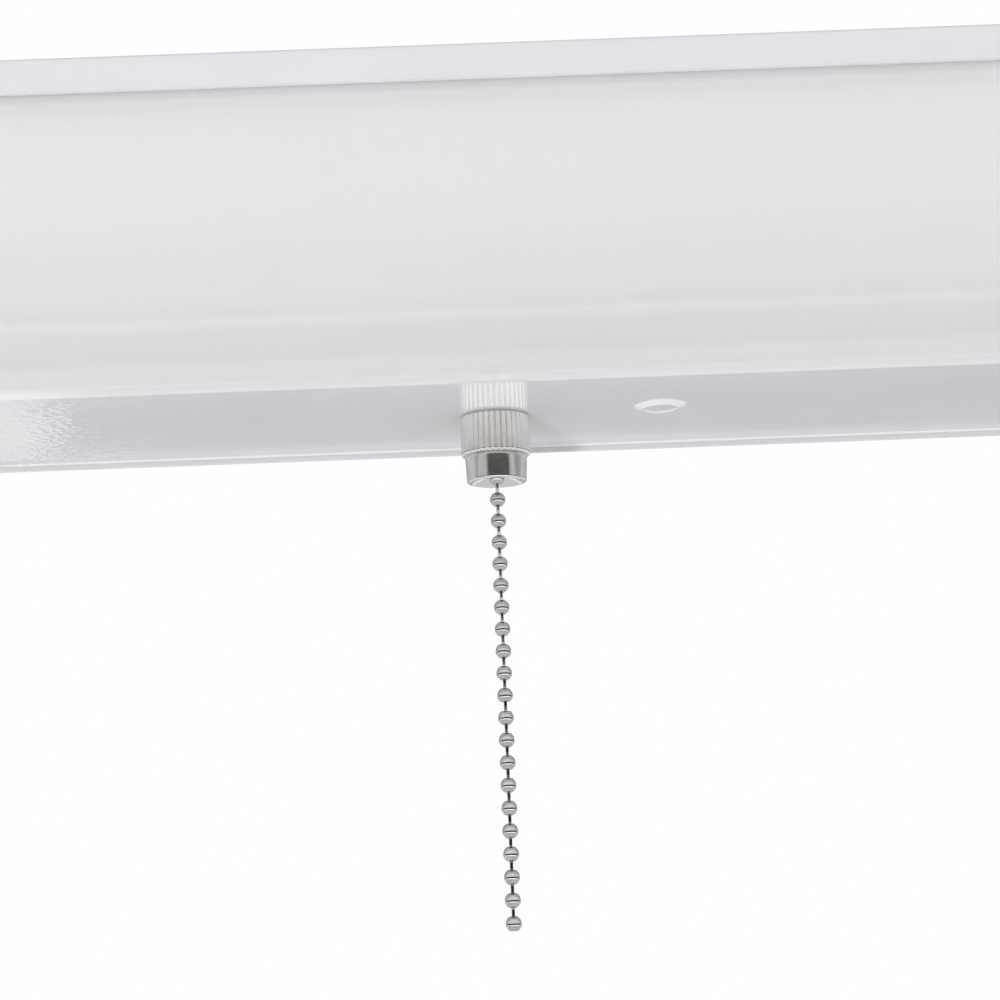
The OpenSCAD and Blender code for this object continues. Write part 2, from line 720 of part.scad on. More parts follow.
module ballast_nuts() color("silver") for (side = [-1, 1])
    translate([ballast_x + side * ballast_stud_x, ballast_y, plate_z - ballast_foot_t - ballast_nut_h])
        difference() {
            cylinder(r = ballast_nut_r, h = ballast_nut_h, $fn = 6);
            translate([0, 0, -1]) cylinder(r = ballast_stud_r + run_fit, h = ballast_nut_h + 2);
        }

// Starter socket on a foot from the ceiling plate; its ring groove lets the starter's pins turn
module starter_socket() color("white") difference() {
    translate([starter_x, starter_y, starter_z]) {
        translate([0, -socket_w / 2, -socket_w / 2]) cube([socket_l, socket_w, socket_w]);
        translate([0, -socket_foot_w / 2, 0]) cube([socket_l, socket_foot_w, plate_z - starter_z]);
    }
    translate([starter_x - 1, starter_y, starter_z]) difference() {
        rod_x(starter_pin_c + starter_groove, starter_pin_l + 2);
        rod_x(starter_pin_c - starter_groove, starter_pin_l + 3);
    }
}

module starter_can() color("silver")
translate([starter_x - starter_l - 0.1, starter_y, starter_z]) difference() {
    rod_x(starter_r, starter_l);
    translate([1, 0, 0]) rod_x(starter_r - 0.6, starter_l - 3);
    for (side = [-1, 1]) translate([starter_l - 2 - eps, side * starter_pin_c, 0])
        rod_x(starter_pin_r + run_fit, 3);
}

module starter_pins() color("gold") for (side = [-1, 1])
    translate([starter_x - 2, starter_y + side * starter_pin_c, starter_z]) {
        rod_x(starter_pin_r, starter_pin_l + 1);
        translate([starter_pin_l - 1, 0, 0]) rod_x(1.6, 2);
    }

// Three-pole terminal block under the ceiling plate, with its clamping screws
module terminal_block() color("beige") translate([block_x, block_y, plate_z]) difference() {
    translate([-block_size[0] / 2, -block_size[1] / 2, -block_size[2]]) cube(block_size);
    for (pole = [-1 : 1]) translate([pole * pole_pitch, 0, -block_size[2] - 1]) cylinder(r = 2, h = 7);
}

module terminal_screws() color("silver") for (pole = [-1 : 1])
    translate([block_x + pole * pole_pitch, block_y, plate_z - block_size[2] + 0.6]) difference() {
        cylinder(r = 1.9, h = 5.3);
        translate([-2.5, -0.3, -1]) cube([5, 0.6, 1.8]);
    }

// Moulded switch case, open at the back, where its cover closes it
module switch_body() color("black") translate([0, switch_y, switch_z]) difference() {
    translate([-switch_w / 2, -switch_d / 2, 0]) cube([switch_w, switch_d - switch_wall, switch_h]);
    translate([-switch_w / 2 + switch_wall, -switch_d / 2 + switch_wall, floor_t])
        cube([switch_w - 2 * switch_wall, switch_d, switch_h - floor_t - switch_wall]);
    translate([0, 0, -1]) cylinder(r = bushing_r + run_fit, h = floor_t + 2);
    translate([pivot_x, -switch_d / 2 - 1, pivot_z - switch_z]) rod_y(axle_r + run_fit, switch_wall + 2);
}

module switch_cover() color("black") difference() {
    translate([-switch_w / 2, switch_y + switch_d / 2 - switch_wall, switch_z])
        cube([switch_w, switch_wall, switch_h]);
    translate([pivot_x, switch_y + switch_d / 2 - switch_wall - 1, pivot_z])
        rod_y(axle_r + run_fit, switch_wall + 2);
}

module lock_washer() color("silver") translate([0, switch_y, cover_top_z]) difference() {
    cylinder(r = 8.2, h = washer_t);
    translate([0, 0, -1]) cylinder(r = bushing_r + 0.1, h = washer_t + 2);
    for (turn = [0 : 30 : 330]) rotate(turn) translate([7.2, -0.5, -1]) cube([2, 1, washer_t + 2]);
}

// Threaded bushing, flanged inside the switch, bored for the chain
module threaded_bushing() color("silver") translate([0, switch_y, 0]) difference() {
    union() {
        translate([0, 0, bushing_end_z]) cylinder(r = bushing_r, h = floor_z - bushing_end_z + eps);
        translate([0, 0, floor_z]) cylinder(r = bushing_flange_r, h = bushing_flange_h);
    }
    translate([0, 0, bushing_end_z - 1]) cylinder(r = bushing_bore_r, h = floor_z - bushing_end_z + 4);
}

// Nickel nut: straight knurl, tapered plain skirt and a dished mouth that the chain passes
function rib_outline() = [for (i = [0 : 4 * ribs - 1])
    let (r = knurl_d / 2 - (i % 4 < 2 ? 0 : rib_depth), turn = 360 * (i + (i % 2) * 0.3) / (4 * ribs))
    r * [cos(turn), sin(turn)]];
module knurled_nut() color("silver") translate([0, switch_y, 0]) difference() {
    union() {
        intersection() {
            translate([0, 0, nut_top_z - knurl_h]) linear_extrude(knurl_h) polygon(rib_outline());
            translate([0, 0, nut_top_z - knurl_h]) rotate_extrude($fn = 96) polygon([[0, 0],
                [knurl_d / 2 - 0.7, 0], [knurl_d / 2 + 0.1, 0.6], [knurl_d / 2 + 0.1, knurl_h - 0.6],
                [knurl_d / 2 - 0.5, knurl_h], [0, knurl_h]]);
        }
        translate([0, 0, nut_bottom_z]) rotate_extrude($fn = 96) polygon([[0, 0], [mouth_r - 0.3, 0],
            [mouth_r, 0.3], [nut_skirt_r - 0.2, skirt_h - 0.6], [nut_skirt_r - 0.5, skirt_h - 0.2],
            [nut_skirt_r - 0.5, skirt_h + eps], [0, skirt_h + eps]]);
    }
    translate([0, 0, bushing_end_z - 0.3])
        cylinder(r = bushing_r + run_fit, h = nut_top_z - bushing_end_z + 2);
    translate([0, 0, nut_bottom_z - 1]) cylinder(r = bead_d / 2 + 0.6, h = 6);
    translate([0, 0, nut_bottom_z - eps]) cylinder(r1 = mouth_r - 0.9, r2 = bead_d / 2 + 0.6, h = 1.4);
}

// Stem that slides in the bushing: a hollow foot grips the chain, a collar meets the spring
module pull_stem() color("silver") translate([0, switch_y, 0]) difference() {
    union() {
        translate([0, 0, stem_socket_z]) sphere(stem_r);
        translate([0, 0, stem_socket_z]) cylinder(r = stem_r, h = stem_top_z - stem_socket_z);
        translate([0, 0, collar_z]) cylinder(r = collar_r, h = collar_h);
        translate([0, 0, drive_pin_z]) rod_y(drive_pin_r, lever_y - switch_y + lever_t + 0.4);
    }
    translate([0, 0, stem_socket_z]) sphere(bead_d / 2 - bead_wall);
    translate([0, 0, stem_socket_z - stem_r - 1]) cylinder(r = bead_hole_r, h = stem_r + 1);
}

// Compression spring between the bushing's flange and the stem's collar
spring_rise = spring_l - 2 * spring_wire_r - 0.2;
spring_route = [for (i = [0 : spring_turns * spring_rings])
    let (turn = 360 * i / spring_rings)
    [spring_r * cos(turn), switch_y + spring_r * sin(turn),
        spring_seat_z + spring_wire_r + 0.1 + spring_rise * i / (spring_turns * spring_rings)]];
spring_gap = min([for (i = [0 : (spring_turns - 1) * spring_rings], j = [spring_rings - 2 : spring_rings + 2])
    norm(spring_route[i] - spring_route[min(i + j, spring_turns * spring_rings)])]) - 2 * spring_wire_r;
echo(return_spring_gap = spring_gap);
module return_spring() color("silver")
    swept_tube(spring_route, spring_wire_r, spring_sides, [0, 0, 1]);

// Lever on the rotor's axle; its slot follows the stem's pin
module driver_lever() color("goldenrod") translate([pivot_x, lever_y, pivot_z])
    rotate([0, -lever_angle, 0]) difference() {
        union() {
            rod_y(lever_hub_r, lever_t);
            translate([0, 0, -lever_arm_w / 2]) cube([lever_l + 2.6, lever_t, lever_arm_w]);
        }
        translate([0, -1, 0]) rod_y(axle_r + run_fit, lever_t + 2);
        translate([lever_l - 2.2, -1, -drive_pin_r - 0.3]) cube([3.8, lever_t + 2, 2 * drive_pin_r + 0.6]);
    }

// Ratchet-toothed rotor that carries the moving contact
module contact_rotor() color("firebrick") translate([pivot_x, switch_y - 6, pivot_z]) difference() {
    union() {
        rod_y(contact_rotor_r - 0.6, 10.5);
        for (turn = [0 : 45 : 315]) rotate([0, turn, 0]) translate([0, 8.5, 0])
            cube([contact_rotor_r - 0.1, 2, 1.2]);
    }
    translate([0, -1, 0]) rod_y(axle_r + run_fit, 13);
}

module rotor_pin() color("silver") translate([pivot_x, switch_y - switch_d / 2, pivot_z])
    rod_y(axle_r, switch_d);

// Fixed contacts above the rotor, hung from the top of the case
module switch_contacts() color("peru") for (place = [-5, -1]) {
    top = switch_z + switch_h - switch_wall;
    leaf_z = pivot_z + contact_rotor_r + contact_gap;
    translate([pivot_x - 3, switch_y + place, leaf_z]) cube([6, 2, 0.4]);
    translate([pivot_x - 3, switch_y + place, leaf_z]) cube([0.4, 2, top - leaf_z]);
}

// One hollow bead with a hole at each end
module chain_bead() {
    difference() {
        sphere(bead_d / 2);
        sphere(bead_d / 2 - bead_wall);
        cylinder(r = bead_hole_r, h = bead_d + 1, center = true);
    }
}

// One link: a thin rod with a half-round head inside the bead above and another inside the bead below
module chain_link() {
    difference() {
        union() {
            sphere(link_ball_r);
            translate([0, 0, -bead_pitch]) sphere(link_ball_r);
            translate([0, 0, -bead_pitch]) cylinder(r = link_r, h = bead_pitch);
        }
        translate([-bead_d, -bead_d, -head_gap]) cube(2 * bead_d);
        translate([-bead_d, -bead_d, head_gap - bead_pitch - 2 * bead_d]) cube(2 * bead_d);
    }
}
module bead_row(top_z, count) color("silver") for (i = [0 : count - 1])
    translate([0, switch_y, top_z - i * bead_pitch]) chain_bead();
module link_row(top_z, count) color("silver") for (i = [0 : count - 1])
    translate([0, switch_y, top_z - i * bead_pitch]) chain_link();

module inner_beads() bead_row(mouth_bead_z + (inner_bead_n - 1) * bead_pitch, inner_bead_n);
module inner_links() link_row(stem_socket_z, inner_bead_n);
module upper_link() link_row(mouth_bead_z, 1);
module upper_beads() bead_row(first_bead_z, upper_n);
module upper_links() link_row(first_bead_z, upper_n - 1);
module lower_link() link_row(first_bead_z - (upper_n - 1) * bead_pitch, 1);
module lower_beads() bead_row(lower_bead_z, lower_n);
module lower_links() link_row(lower_bead_z, lower_n - 1);

module supply_leads() color("black") {
    lead(supply_live_route);
    lead(supply_neutral_route);
}
module ballast_leads() color("royalblue") {
    lead(switch_ballast_route);
    lead(ballast_lamp_route);
}
module lamp_leads() color("gold") {
    lead(lamp_starter_route);
    lead(starter_lamp_route);
}
module bonding_lead() color("green") lead(bonding_route);

housing();
end_cap_left();
end_cap_right();
end_cap_screws();
bottom_cover();
cover_screws();
bonding_stud();
bonding_nut();
ring_terminal();
divider();
reflector();
reflector_rivets();
lens_rail();
lens();
lens_clips();
clip_rivets();
lampholder_left();
lampholder_right();
holder_rotor_left();
holder_rotor_right();
holder_contacts_left();
holder_contacts_right();
lamp_tube();
lamp_cap_left();
lamp_cap_right();
lamp_pins();
ballast_case();
ballast_core();
ballast_coil();
ballast_studs();
ballast_nuts();
starter_socket();
starter_can();
starter_pins();
terminal_block();
terminal_screws();
switch_body();
switch_cover();
lock_washer();
threaded_bushing();
knurled_nut();
pull_stem();
return_spring();
driver_lever();
contact_rotor();
rotor_pin();
switch_contacts();
inner_beads();
inner_links();
upper_link();
upper_beads();
upper_links();
lower_link();
lower_beads();
lower_links();
supply_leads();
ballast_leads();
lamp_leads();
bonding_lead();
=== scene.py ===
"""Looks of a pull-chain fluorescent closet light: gloss white steel body, opal side lens, nickel nut and ball
chain."""
import json
import math

import bmesh
import bpy
from mathutils import Matrix, Quaternion, Vector


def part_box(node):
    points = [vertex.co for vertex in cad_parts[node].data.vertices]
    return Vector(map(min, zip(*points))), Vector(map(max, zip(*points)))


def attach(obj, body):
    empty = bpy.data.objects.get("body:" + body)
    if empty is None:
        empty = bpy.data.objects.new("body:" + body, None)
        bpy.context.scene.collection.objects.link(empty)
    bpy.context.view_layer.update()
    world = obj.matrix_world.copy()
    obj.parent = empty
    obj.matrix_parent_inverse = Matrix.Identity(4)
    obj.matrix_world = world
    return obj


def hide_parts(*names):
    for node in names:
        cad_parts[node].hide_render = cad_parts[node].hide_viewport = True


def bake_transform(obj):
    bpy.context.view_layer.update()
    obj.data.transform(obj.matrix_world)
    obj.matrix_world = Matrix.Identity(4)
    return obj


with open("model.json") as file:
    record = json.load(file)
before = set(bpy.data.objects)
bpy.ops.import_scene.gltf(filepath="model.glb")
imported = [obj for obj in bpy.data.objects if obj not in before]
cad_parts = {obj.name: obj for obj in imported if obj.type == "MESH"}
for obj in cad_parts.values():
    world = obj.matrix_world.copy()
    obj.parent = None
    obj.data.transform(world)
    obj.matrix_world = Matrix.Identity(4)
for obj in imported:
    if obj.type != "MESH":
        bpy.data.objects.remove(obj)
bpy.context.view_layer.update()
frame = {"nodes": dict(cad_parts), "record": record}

MM = 0.001

# Camera, as the photograph was taken: from below, in front, looking a little up at the middle of the light
CAMERA_PLACE_MM = (-0.86, -300.49, -131.07)
CAMERA_YAW, CAMERA_PITCH, CAMERA_ROLL = 0.246, 10.217, -2.191
FOCAL_PX = 1530
IMAGE_PX = 1000
SENSOR_MM = 36
CLIP_M = (0.01, 50)


def make_camera():
    yaw, pitch, roll = (math.radians(a) for a in (CAMERA_YAW, CAMERA_PITCH, CAMERA_ROLL))
    ahead = Vector((math.sin(yaw) * math.cos(pitch), math.cos(yaw) * math.cos(pitch), math.sin(pitch)))
    level = Vector((math.cos(yaw), -math.sin(yaw), 0))
    upward = level.cross(ahead)
    right = math.cos(roll) * level + math.sin(roll) * upward
    up = math.cos(roll) * upward - math.sin(roll) * level
    data = bpy.data.cameras.new("camera")
    data.sensor_width = SENSOR_MM
    data.lens = FOCAL_PX / IMAGE_PX * SENSOR_MM
    data.clip_start, data.clip_end = CLIP_M
    camera = bpy.data.objects.new("camera", data)
    turn = Matrix((right, up, -ahead)).transposed().to_4x4()
    camera.matrix_world = Matrix.Translation(Vector(CAMERA_PLACE_MM) * MM) @ turn
    bpy.context.scene.collection.objects.link(camera)
    bpy.context.scene.camera = camera


# Node and colour helpers
TONE_SPAN = (0.3, 0.7)


def linear(hex_colour):
    """An sRGB hex colour as linear red, green, blue and alpha."""
    parts = [int(hex_colour[i:i + 2], 16) / 255 for i in (1, 3, 5)]
    return tuple(c / 12.92 if c <= 0.04045 else ((c + 0.055) / 1.055) ** 2.4 for c in parts) + (1.0,)


def add(tree, kind, settings=(), values=(), links=()):
    """Adds a node, with its settings, its input values and the sockets that feed its inputs."""
    node = tree.nodes.new(kind)
    for name, value in dict(settings).items():
        setattr(node, name, value)
    for name, value in dict(values).items():
        node.inputs[name].default_value = value
    for name, source in dict(links).items():
        tree.links.new(source, node.inputs[name])
    return node


def per_metre(size_mm):
    """The scale of a pattern whose features are size_mm wide, on coordinates in metres."""
    return 1 / (size_mm * MM)


def start_material(name, values):
    """A material, its tree, its Principled shader with the constants set, and its coordinates in metres."""
    material = bpy.data.materials.new(name)
    material.use_nodes = True
    tree = material.node_tree
    tree.nodes.clear()
    shader = add(tree, "ShaderNodeBsdfPrincipled", values=values)
    add(tree, "ShaderNodeOutputMaterial", links={"Surface": shader.outputs["BSDF"]})
    place = add(tree, "ShaderNodeTexCoord").outputs["Object"]
    return material, tree, shader, place


def tint(tree, shader, place, size_mm, dark, light):
    """Lets the base colour wander between two close tones, and gives the colour back."""
    noise = add(tree, "ShaderNodeTexNoise", values={"Scale": per_metre(size_mm), "Detail": 3},
                links={"Vector": place})
    ramp = add(tree, "ShaderNodeValToRGB", links={"Fac": noise.outputs["Fac"]})
    tones = ramp.color_ramp.elements
    tones[0].position, tones[1].position = TONE_SPAN
    tones[0].color, tones[1].color = linear(dark), linear(light)
    tree.links.new(ramp.outputs["Color"], shader.inputs["Base Color"])
    return ramp.outputs["Color"]


def relief(tree, shader, height, depth_mm, strength=1.0):
    """Raises a height pattern on the surface, depth_mm deep."""
    bump = add(tree, "ShaderNodeBump", values={"Strength": strength, "Distance": depth_mm * MM},
               links={"Height": height})
    tree.links.new(bump.outputs["Normal"], shader.inputs["Normal"])


def rough_range(tree, shader, height, low, high):
    """Lets roughness wander with a height pattern."""
    span = add(tree, "ShaderNodeMapRange", values={"To Min": low, "To Max": high}, links={"Value": height})
    tree.links.new(span.outputs["Result"], shader.inputs["Roughness"])


def fade(tree, source, start, end, before, after):
    """A level that turns smoothly into another while source runs from start to end; each may be a socket."""
    node = add(tree, "ShaderNodeMapRange", {"interpolation_type": "SMOOTHSTEP"},
               {"From Min": start, "From Max": end}, {"Value": source})
    for name, level in (("To Min", before), ("To Max", after)):
        if isinstance(level, (int, float)):
            node.inputs[name].default_value = level
        else:
            tree.links.new(level, node.inputs[name])
    return node.outputs["Result"]


def window(tree, source, edges, level):
    """A level kept only between the inner edges, fading to nothing at the outer ones."""
    rise = fade(tree, source, edges[0], edges[1], 0, level)
    return fade(tree, source, edges[2], edges[3], rise, 0)


# Materials. The orange peel is flatter to the right of its fade along the light.
PEEL_MM = 1.4
PEEL_DEPTH_MM = 0.09
PEEL_FADE = (-86 * MM, -66 * MM)
FLATTER = 0.2

# The opal sheet's painted shade by height, under the light and around the lower corner, and the painted light
# (a glow though no lamp is lit) of its long edges
UNDERSIDE = (-58 * MM, -55.5 * MM)
UNDERSIDE_PAINTED_SHADE = 0.96
CORNER = (-52 * MM, -44 * MM)
CORNER_PAINTED_SHADE = 0.84
LOWER_EDGE = (-32 * MM, -25 * MM)
LOWER_EDGE_PAINTED_LIGHT = 0.12
UPPER_EDGE = (-10.5 * MM, -8.6 * MM)
UPPER_EDGE_PAINTED_LIGHT = 0.1

# A wave texture of scale 1 turns through this many radians in each unit of length
WAVE_RADIANS = 20


def gloss_enamel(name, dark, light):
    """Baked gloss enamel on steel: a mirror at a low angle, broken up by orange peel, heavier to the left."""
    material, tree, shader, place = start_material(name, {"Roughness": 0.05, "IOR": 1.5})
    tint(tree, shader, place, 40, dark, light)
    peel = add(tree, "ShaderNodeTexNoise", links={"Vector": place},
               values={"Scale": per_metre(PEEL_MM), "Detail": 1.0, "Roughness": 0.35}).outputs["Fac"]
    along = add(tree, "ShaderNodeSeparateXYZ", links={"Vector": place}).outputs["X"]
    amount = fade(tree, along, *PEEL_FADE, 1, FLATTER)
    height = add(tree, "ShaderNodeMath", {"operation": "MULTIPLY"}, links={0: peel, 1: amount})
    relief(tree, shader, height.outputs["Value"], PEEL_DEPTH_MM)
    rough_range(tree, shader, peel, 0.03, 0.05)
    return material


def moulded_white_abs():
    """Injection-moulded ABS: satin white, with a fine spark-eroded grain."""
    material, tree, shader, place = start_material("moulded_white_abs", {"Roughness": 0.4, "IOR": 1.54})
    tint(tree, shader, place, 15, "#E9E9E9", "#EBEBEA")
    grain = add(tree, "ShaderNodeTexNoise", values={"Scale": per_metre(0.5), "Detail": 2},
                links={"Vector": place}).outputs["Fac"]
    relief(tree, shader, grain, 0.02, 0.3)
    return material


def extruded_opal_acrylic():
    """Extruded opal acrylic: milky, satin, with die lines along it. Its long edges glow a little: painted
    light, though no lamp is lit. Its lower corner and underside are darkened: painted shade."""
    material, tree, shader, place = start_material("extruded_opal_acrylic", {
        "Roughness": 0.2, "IOR": 1.49, "Subsurface Weight": 1.0, "Subsurface Scale": 0.004,
        "Subsurface Radius": (1.0, 1.0, 1.0), "Emission Color": (1, 1, 1, 1)})
    tone = tint(tree, shader, place, 60, "#F6F6F8", "#F9F9FA")
    parts = add(tree, "ShaderNodeSeparateXYZ", links={"Vector": place})
    across, height = parts.outputs["Y"], parts.outputs["Z"]
    # Painted shade: the lens colour is darkened around its lower corner and a little on its underside
    corner = fade(tree, height, *CORNER, CORNER_PAINTED_SHADE, 1)
    depth = fade(tree, height, *UNDERSIDE, UNDERSIDE_PAINTED_SHADE, corner)
    shaded_tone = add(tree, "ShaderNodeHueSaturation", links={"Color": tone, "Value": depth})
    tree.links.new(shaded_tone.outputs["Color"], shader.inputs["Base Color"])
    # Painted light: emission makes the long edges glow though no lamp is lit
    lower_edge_light = fade(tree, across, *LOWER_EDGE, 0, LOWER_EDGE_PAINTED_LIGHT)
    edges = fade(tree, height, *UPPER_EDGE, lower_edge_light, UPPER_EDGE_PAINTED_LIGHT)
    tree.links.new(edges, shader.inputs["Emission Strength"])
    stretch = add(tree, "ShaderNodeMapping", values={"Scale": (0.02, 1, 1)}, links={"Vector": place})
    lines = add(tree, "ShaderNodeTexNoise", values={"Scale": per_metre(1.4), "Detail": 2},
                links={"Vector": stretch.outputs["Vector"]}).outputs["Fac"]
    relief(tree, shader, lines, 0.01, 0.15)
    return material


def nickel_plate(name, dark, light, smooth, dull):
    """Bright nickel plate: a warm grey mirror, slightly softened by handling."""
    material, tree, shader, place = start_material(name, {"Metallic": 1.0, "Roughness": smooth})
    tint(tree, shader, place, 3, dark, light)
    haze = add(tree, "ShaderNodeTexNoise", values={"Scale": per_metre(0.6), "Detail": 3},
               links={"Vector": place}).outputs["Fac"]
    rough_range(tree, shader, haze, smooth, dull)
    relief(tree, shader, haze, 0.01, 0.1)
    return material


def zinc_plated_steel():
    """Zinc-plated steel: a cool grey metal with a crystalline bloom."""
    material, tree, shader, place = start_material("zinc_plated_steel", {"Metallic": 1.0, "Roughness": 0.3})
    tint(tree, shader, place, 1.5, "#A9ACB2", "#BDC0C4")
    bloom = add(tree, "ShaderNodeTexVoronoi", values={"Scale": per_metre(0.8)}, links={"Vector": place})
    rough_range(tree, shader, bloom.outputs["Distance"], 0.22, 0.42)
    return material


def spring_steel_strip():
    """Tempered spring steel: straw grey, drawn along its length."""
    material, tree, shader, place = start_material("spring_steel_strip", {"Metallic": 1.0, "Roughness": 0.28})
    tint(tree, shader, place, 2, "#8F9196", "#A3A4A6")
    stretch = add(tree, "ShaderNodeMapping", values={"Scale": (1, 0.05, 1)}, links={"Vector": place})
    drawn = add(tree, "ShaderNodeTexNoise", values={"Scale": per_metre(0.2)},
                links={"Vector": stretch.outputs["Vector"]}).outputs["Fac"]
    rough_range(tree, shader, drawn, 0.2, 0.38)
    return material


def phosphor_bronze_leaf():
    """Phosphor bronze strip: reddish gold, lightly tarnished."""
    material, tree, shader, place = start_material("phosphor_bronze_leaf", {
        "Metallic": 1.0, "Roughness": 0.3})
    tint(tree, shader, place, 2.5, "#B58055", "#C99668")
    return material


def turned_brass():
    """Turned brass: yellow metal with fine tool marks."""
    material, tree, shader, place = start_material("turned_brass", {"Metallic": 1.0, "Roughness": 0.25})
    tint(tree, shader, place, 2, "#C2A25A", "#D3B66E")
    marks = add(tree, "ShaderNodeTexNoise", values={"Scale": per_metre(0.3), "Detail": 2},
                links={"Vector": place}).outputs["Fac"]
    rough_range(tree, shader, marks, 0.18, 0.34)
    return material


def phosphor_coated_glass():
    """Glass tube coated inside with phosphor: chalk white under a clear gloss."""
    material, tree, shader, place = start_material("phosphor_coated_glass", {
        "Roughness": 0.5, "IOR": 1.5, "Coat Weight": 1.0, "Coat Roughness": 0.03})
    tint(tree, shader, place, 30, "#F1F1ED", "#F6F6F3")
    return material


def drawn_aluminium():
    """Drawn aluminium: pale satin metal with faint drawing lines."""
    material, tree, shader, place = start_material("drawn_aluminium", {"Metallic": 1.0, "Roughness": 0.32})
    tint(tree, shader, place, 4, "#C9CACC", "#D8D9DA")
    stretch = add(tree, "ShaderNodeMapping", values={"Scale": (0.06, 1, 1)}, links={"Vector": place})
    drawn = add(tree, "ShaderNodeTexNoise", values={"Scale": per_metre(0.3), "Detail": 2},
                links={"Vector": stretch.outputs["Vector"]}).outputs["Fac"]
    rough_range(tree, shader, drawn, 0.24, 0.42)
    relief(tree, shader, drawn, 0.01, 0.2)
    return material


def moulded_white_urea():
    """Urea moulding for lamp and starter holders: hard, dense white with a soft gloss."""
    material, tree, shader, place = start_material("moulded_white_urea", {"Roughness": 0.28, "IOR": 1.55})
    tint(tree, shader, place, 8, "#E9E8E2", "#F0EFEA")
    return material


def dark_phenolic():
    """Phenolic moulding for the switch: near black, faintly mottled by its filler."""
    material, tree, shader, place = start_material("dark_phenolic", {"Roughness": 0.35, "IOR": 1.6})
    tint(tree, shader, place, 0.9, "#1B1918", "#2A2624")
    return material


def black_case_paint():
    """Dipped black paint on the ballast's can: soft gloss with small runs."""
    material, tree, shader, place = start_material("black_case_paint", {"Roughness": 0.3, "IOR": 1.5})
    tint(tree, shader, place, 10, "#17181A", "#212225")
    runs = add(tree, "ShaderNodeTexNoise", values={"Scale": per_metre(4), "Detail": 2},
               links={"Vector": place}).outputs["Fac"]
    relief(tree, shader, runs, 0.05, 0.3)
    return material


def varnished_laminations():
    """Stack of silicon-steel sheets under varnish: dark grey, with ridges where groups of sheets meet."""
    material, tree, shader, place = start_material("varnished_laminations", {
        "Metallic": 0.8, "Roughness": 0.45})
    tint(tree, shader, place, 3, "#54514D", "#6A6762")
    sheets = add(tree, "ShaderNodeTexWave", {"bands_direction": "Y"},
                 {"Scale": per_metre(0.5) / WAVE_RADIANS}, {"Vector": place})
    relief(tree, shader, sheets.outputs["Fac"], 0.08, 0.8)
    return material


def taped_winding():
    """Varnished paper tape over a copper winding: amber brown, softly ridged by its wraps."""
    material, tree, shader, place = start_material("taped_winding", {"Roughness": 0.5, "IOR": 1.5})
    tint(tree, shader, place, 4, "#8A5A2C", "#A9713B")
    wraps = add(tree, "ShaderNodeTexWave", {"bands_direction": "X"}, {"Scale": per_metre(4) / WAVE_RADIANS},
                {"Vector": place})
    relief(tree, shader, wraps.outputs["Fac"], 0.15, 0.6)
    return material


def pvc_insulation(colour_name, dark, light):
    """PVC insulation on stranded wire: soft gloss, with the strands just showing through."""
    material, tree, shader, place = start_material("pvc_insulation_" + colour_name, {
        "Roughness": 0.35, "IOR": 1.53})
    tint(tree, shader, place, 5, dark, light)
    strands = add(tree, "ShaderNodeTexNoise", values={"Scale": per_metre(0.8), "Detail": 1},
                  links={"Vector": place}).outputs["Fac"]
    relief(tree, shader, strands, 0.04, 0.4)
    return material


def make_materials():
    return {
        "enamel": gloss_enamel("baked_gloss_enamel", "#E0E0E4", "#E4E4E7"),
        # A lighter copy of the enamel, a painted highlight: the bright line of the cover's hem and the stud's
        # lit slopes
        "highlight_enamel": gloss_enamel("painted_highlight_enamel", "#F4F4F5", "#F8F8F8"),
        "end_plastic": moulded_white_abs(),
        "opal": extruded_opal_acrylic(),
        "nickel": nickel_plate("plain_nickel_plate", "#C4C2BE", "#CECCC8", 0.04, 0.1),
        # Painted highlight: the nut's plate is a lighter copy of the chain's, for the brighter light on its
        # ribs
        "lightened_nut_nickel": nickel_plate("nickel_plate_painted_lighter", "#E2E0DC", "#EAE8E5", 0.1, 0.2),
        "zinc": zinc_plated_steel(),
        "spring_steel": spring_steel_strip(),
        "bronze": phosphor_bronze_leaf(),
        "brass": turned_brass(),
        "lamp_glass": phosphor_coated_glass(),
        "aluminium": drawn_aluminium(),
        "white_plastic": moulded_white_urea(),
        "phenolic": dark_phenolic(),
        "case_paint": black_case_paint(),
        "laminations": varnished_laminations(),
        "winding": taped_winding(),
        "black_lead": pvc_insulation("black", "#161616", "#222222"),
        "blue_lead": pvc_insulation("blue", "#1F3F86", "#2B4F9C"),
        "yellow_lead": pvc_insulation("yellow", "#D2AE1E", "#E0BE33"),
        "green_lead": pvc_insulation("green", "#1E7A3A", "#2A8C48"),
    }


# Meshes in millimetres
JOIN_MM = 0.0005
ALONG_Y, ALONG_Z = 1, 2
CUT_REACH = 3


def make_mesh(name, points, faces):
    """An object from points in millimetres, with doubled points joined and its faces turned outwards."""
    mesh = bpy.data.meshes.new(name)
    mesh.from_pydata([Vector(p) * MM for p in points], [], faces)
    shape = bmesh.new()
    shape.from_mesh(mesh)
    bmesh.ops.remove_doubles(shape, verts=shape.verts, dist=JOIN_MM * MM)
    bmesh.ops.recalc_face_normals(shape, faces=shape.faces)
    shape.to_mesh(mesh)
    shape.free()
    piece = bpy.data.objects.new(name, mesh)
    bpy.context.scene.collection.objects.link(piece)
    return piece


def cut(piece, tool):
    """The piece's mesh with the tool's shapes cut away; the tool is used up."""
    step = piece.modifiers.new("cut", "BOOLEAN")
    step.operation, step.solver, step.object = "DIFFERENCE", "EXACT", tool
    made = bpy.data.meshes.new_from_object(piece.evaluated_get(bpy.context.evaluated_depsgraph_get()))
    piece.modifiers.remove(step)
    bpy.data.objects.remove(tool)
    return made


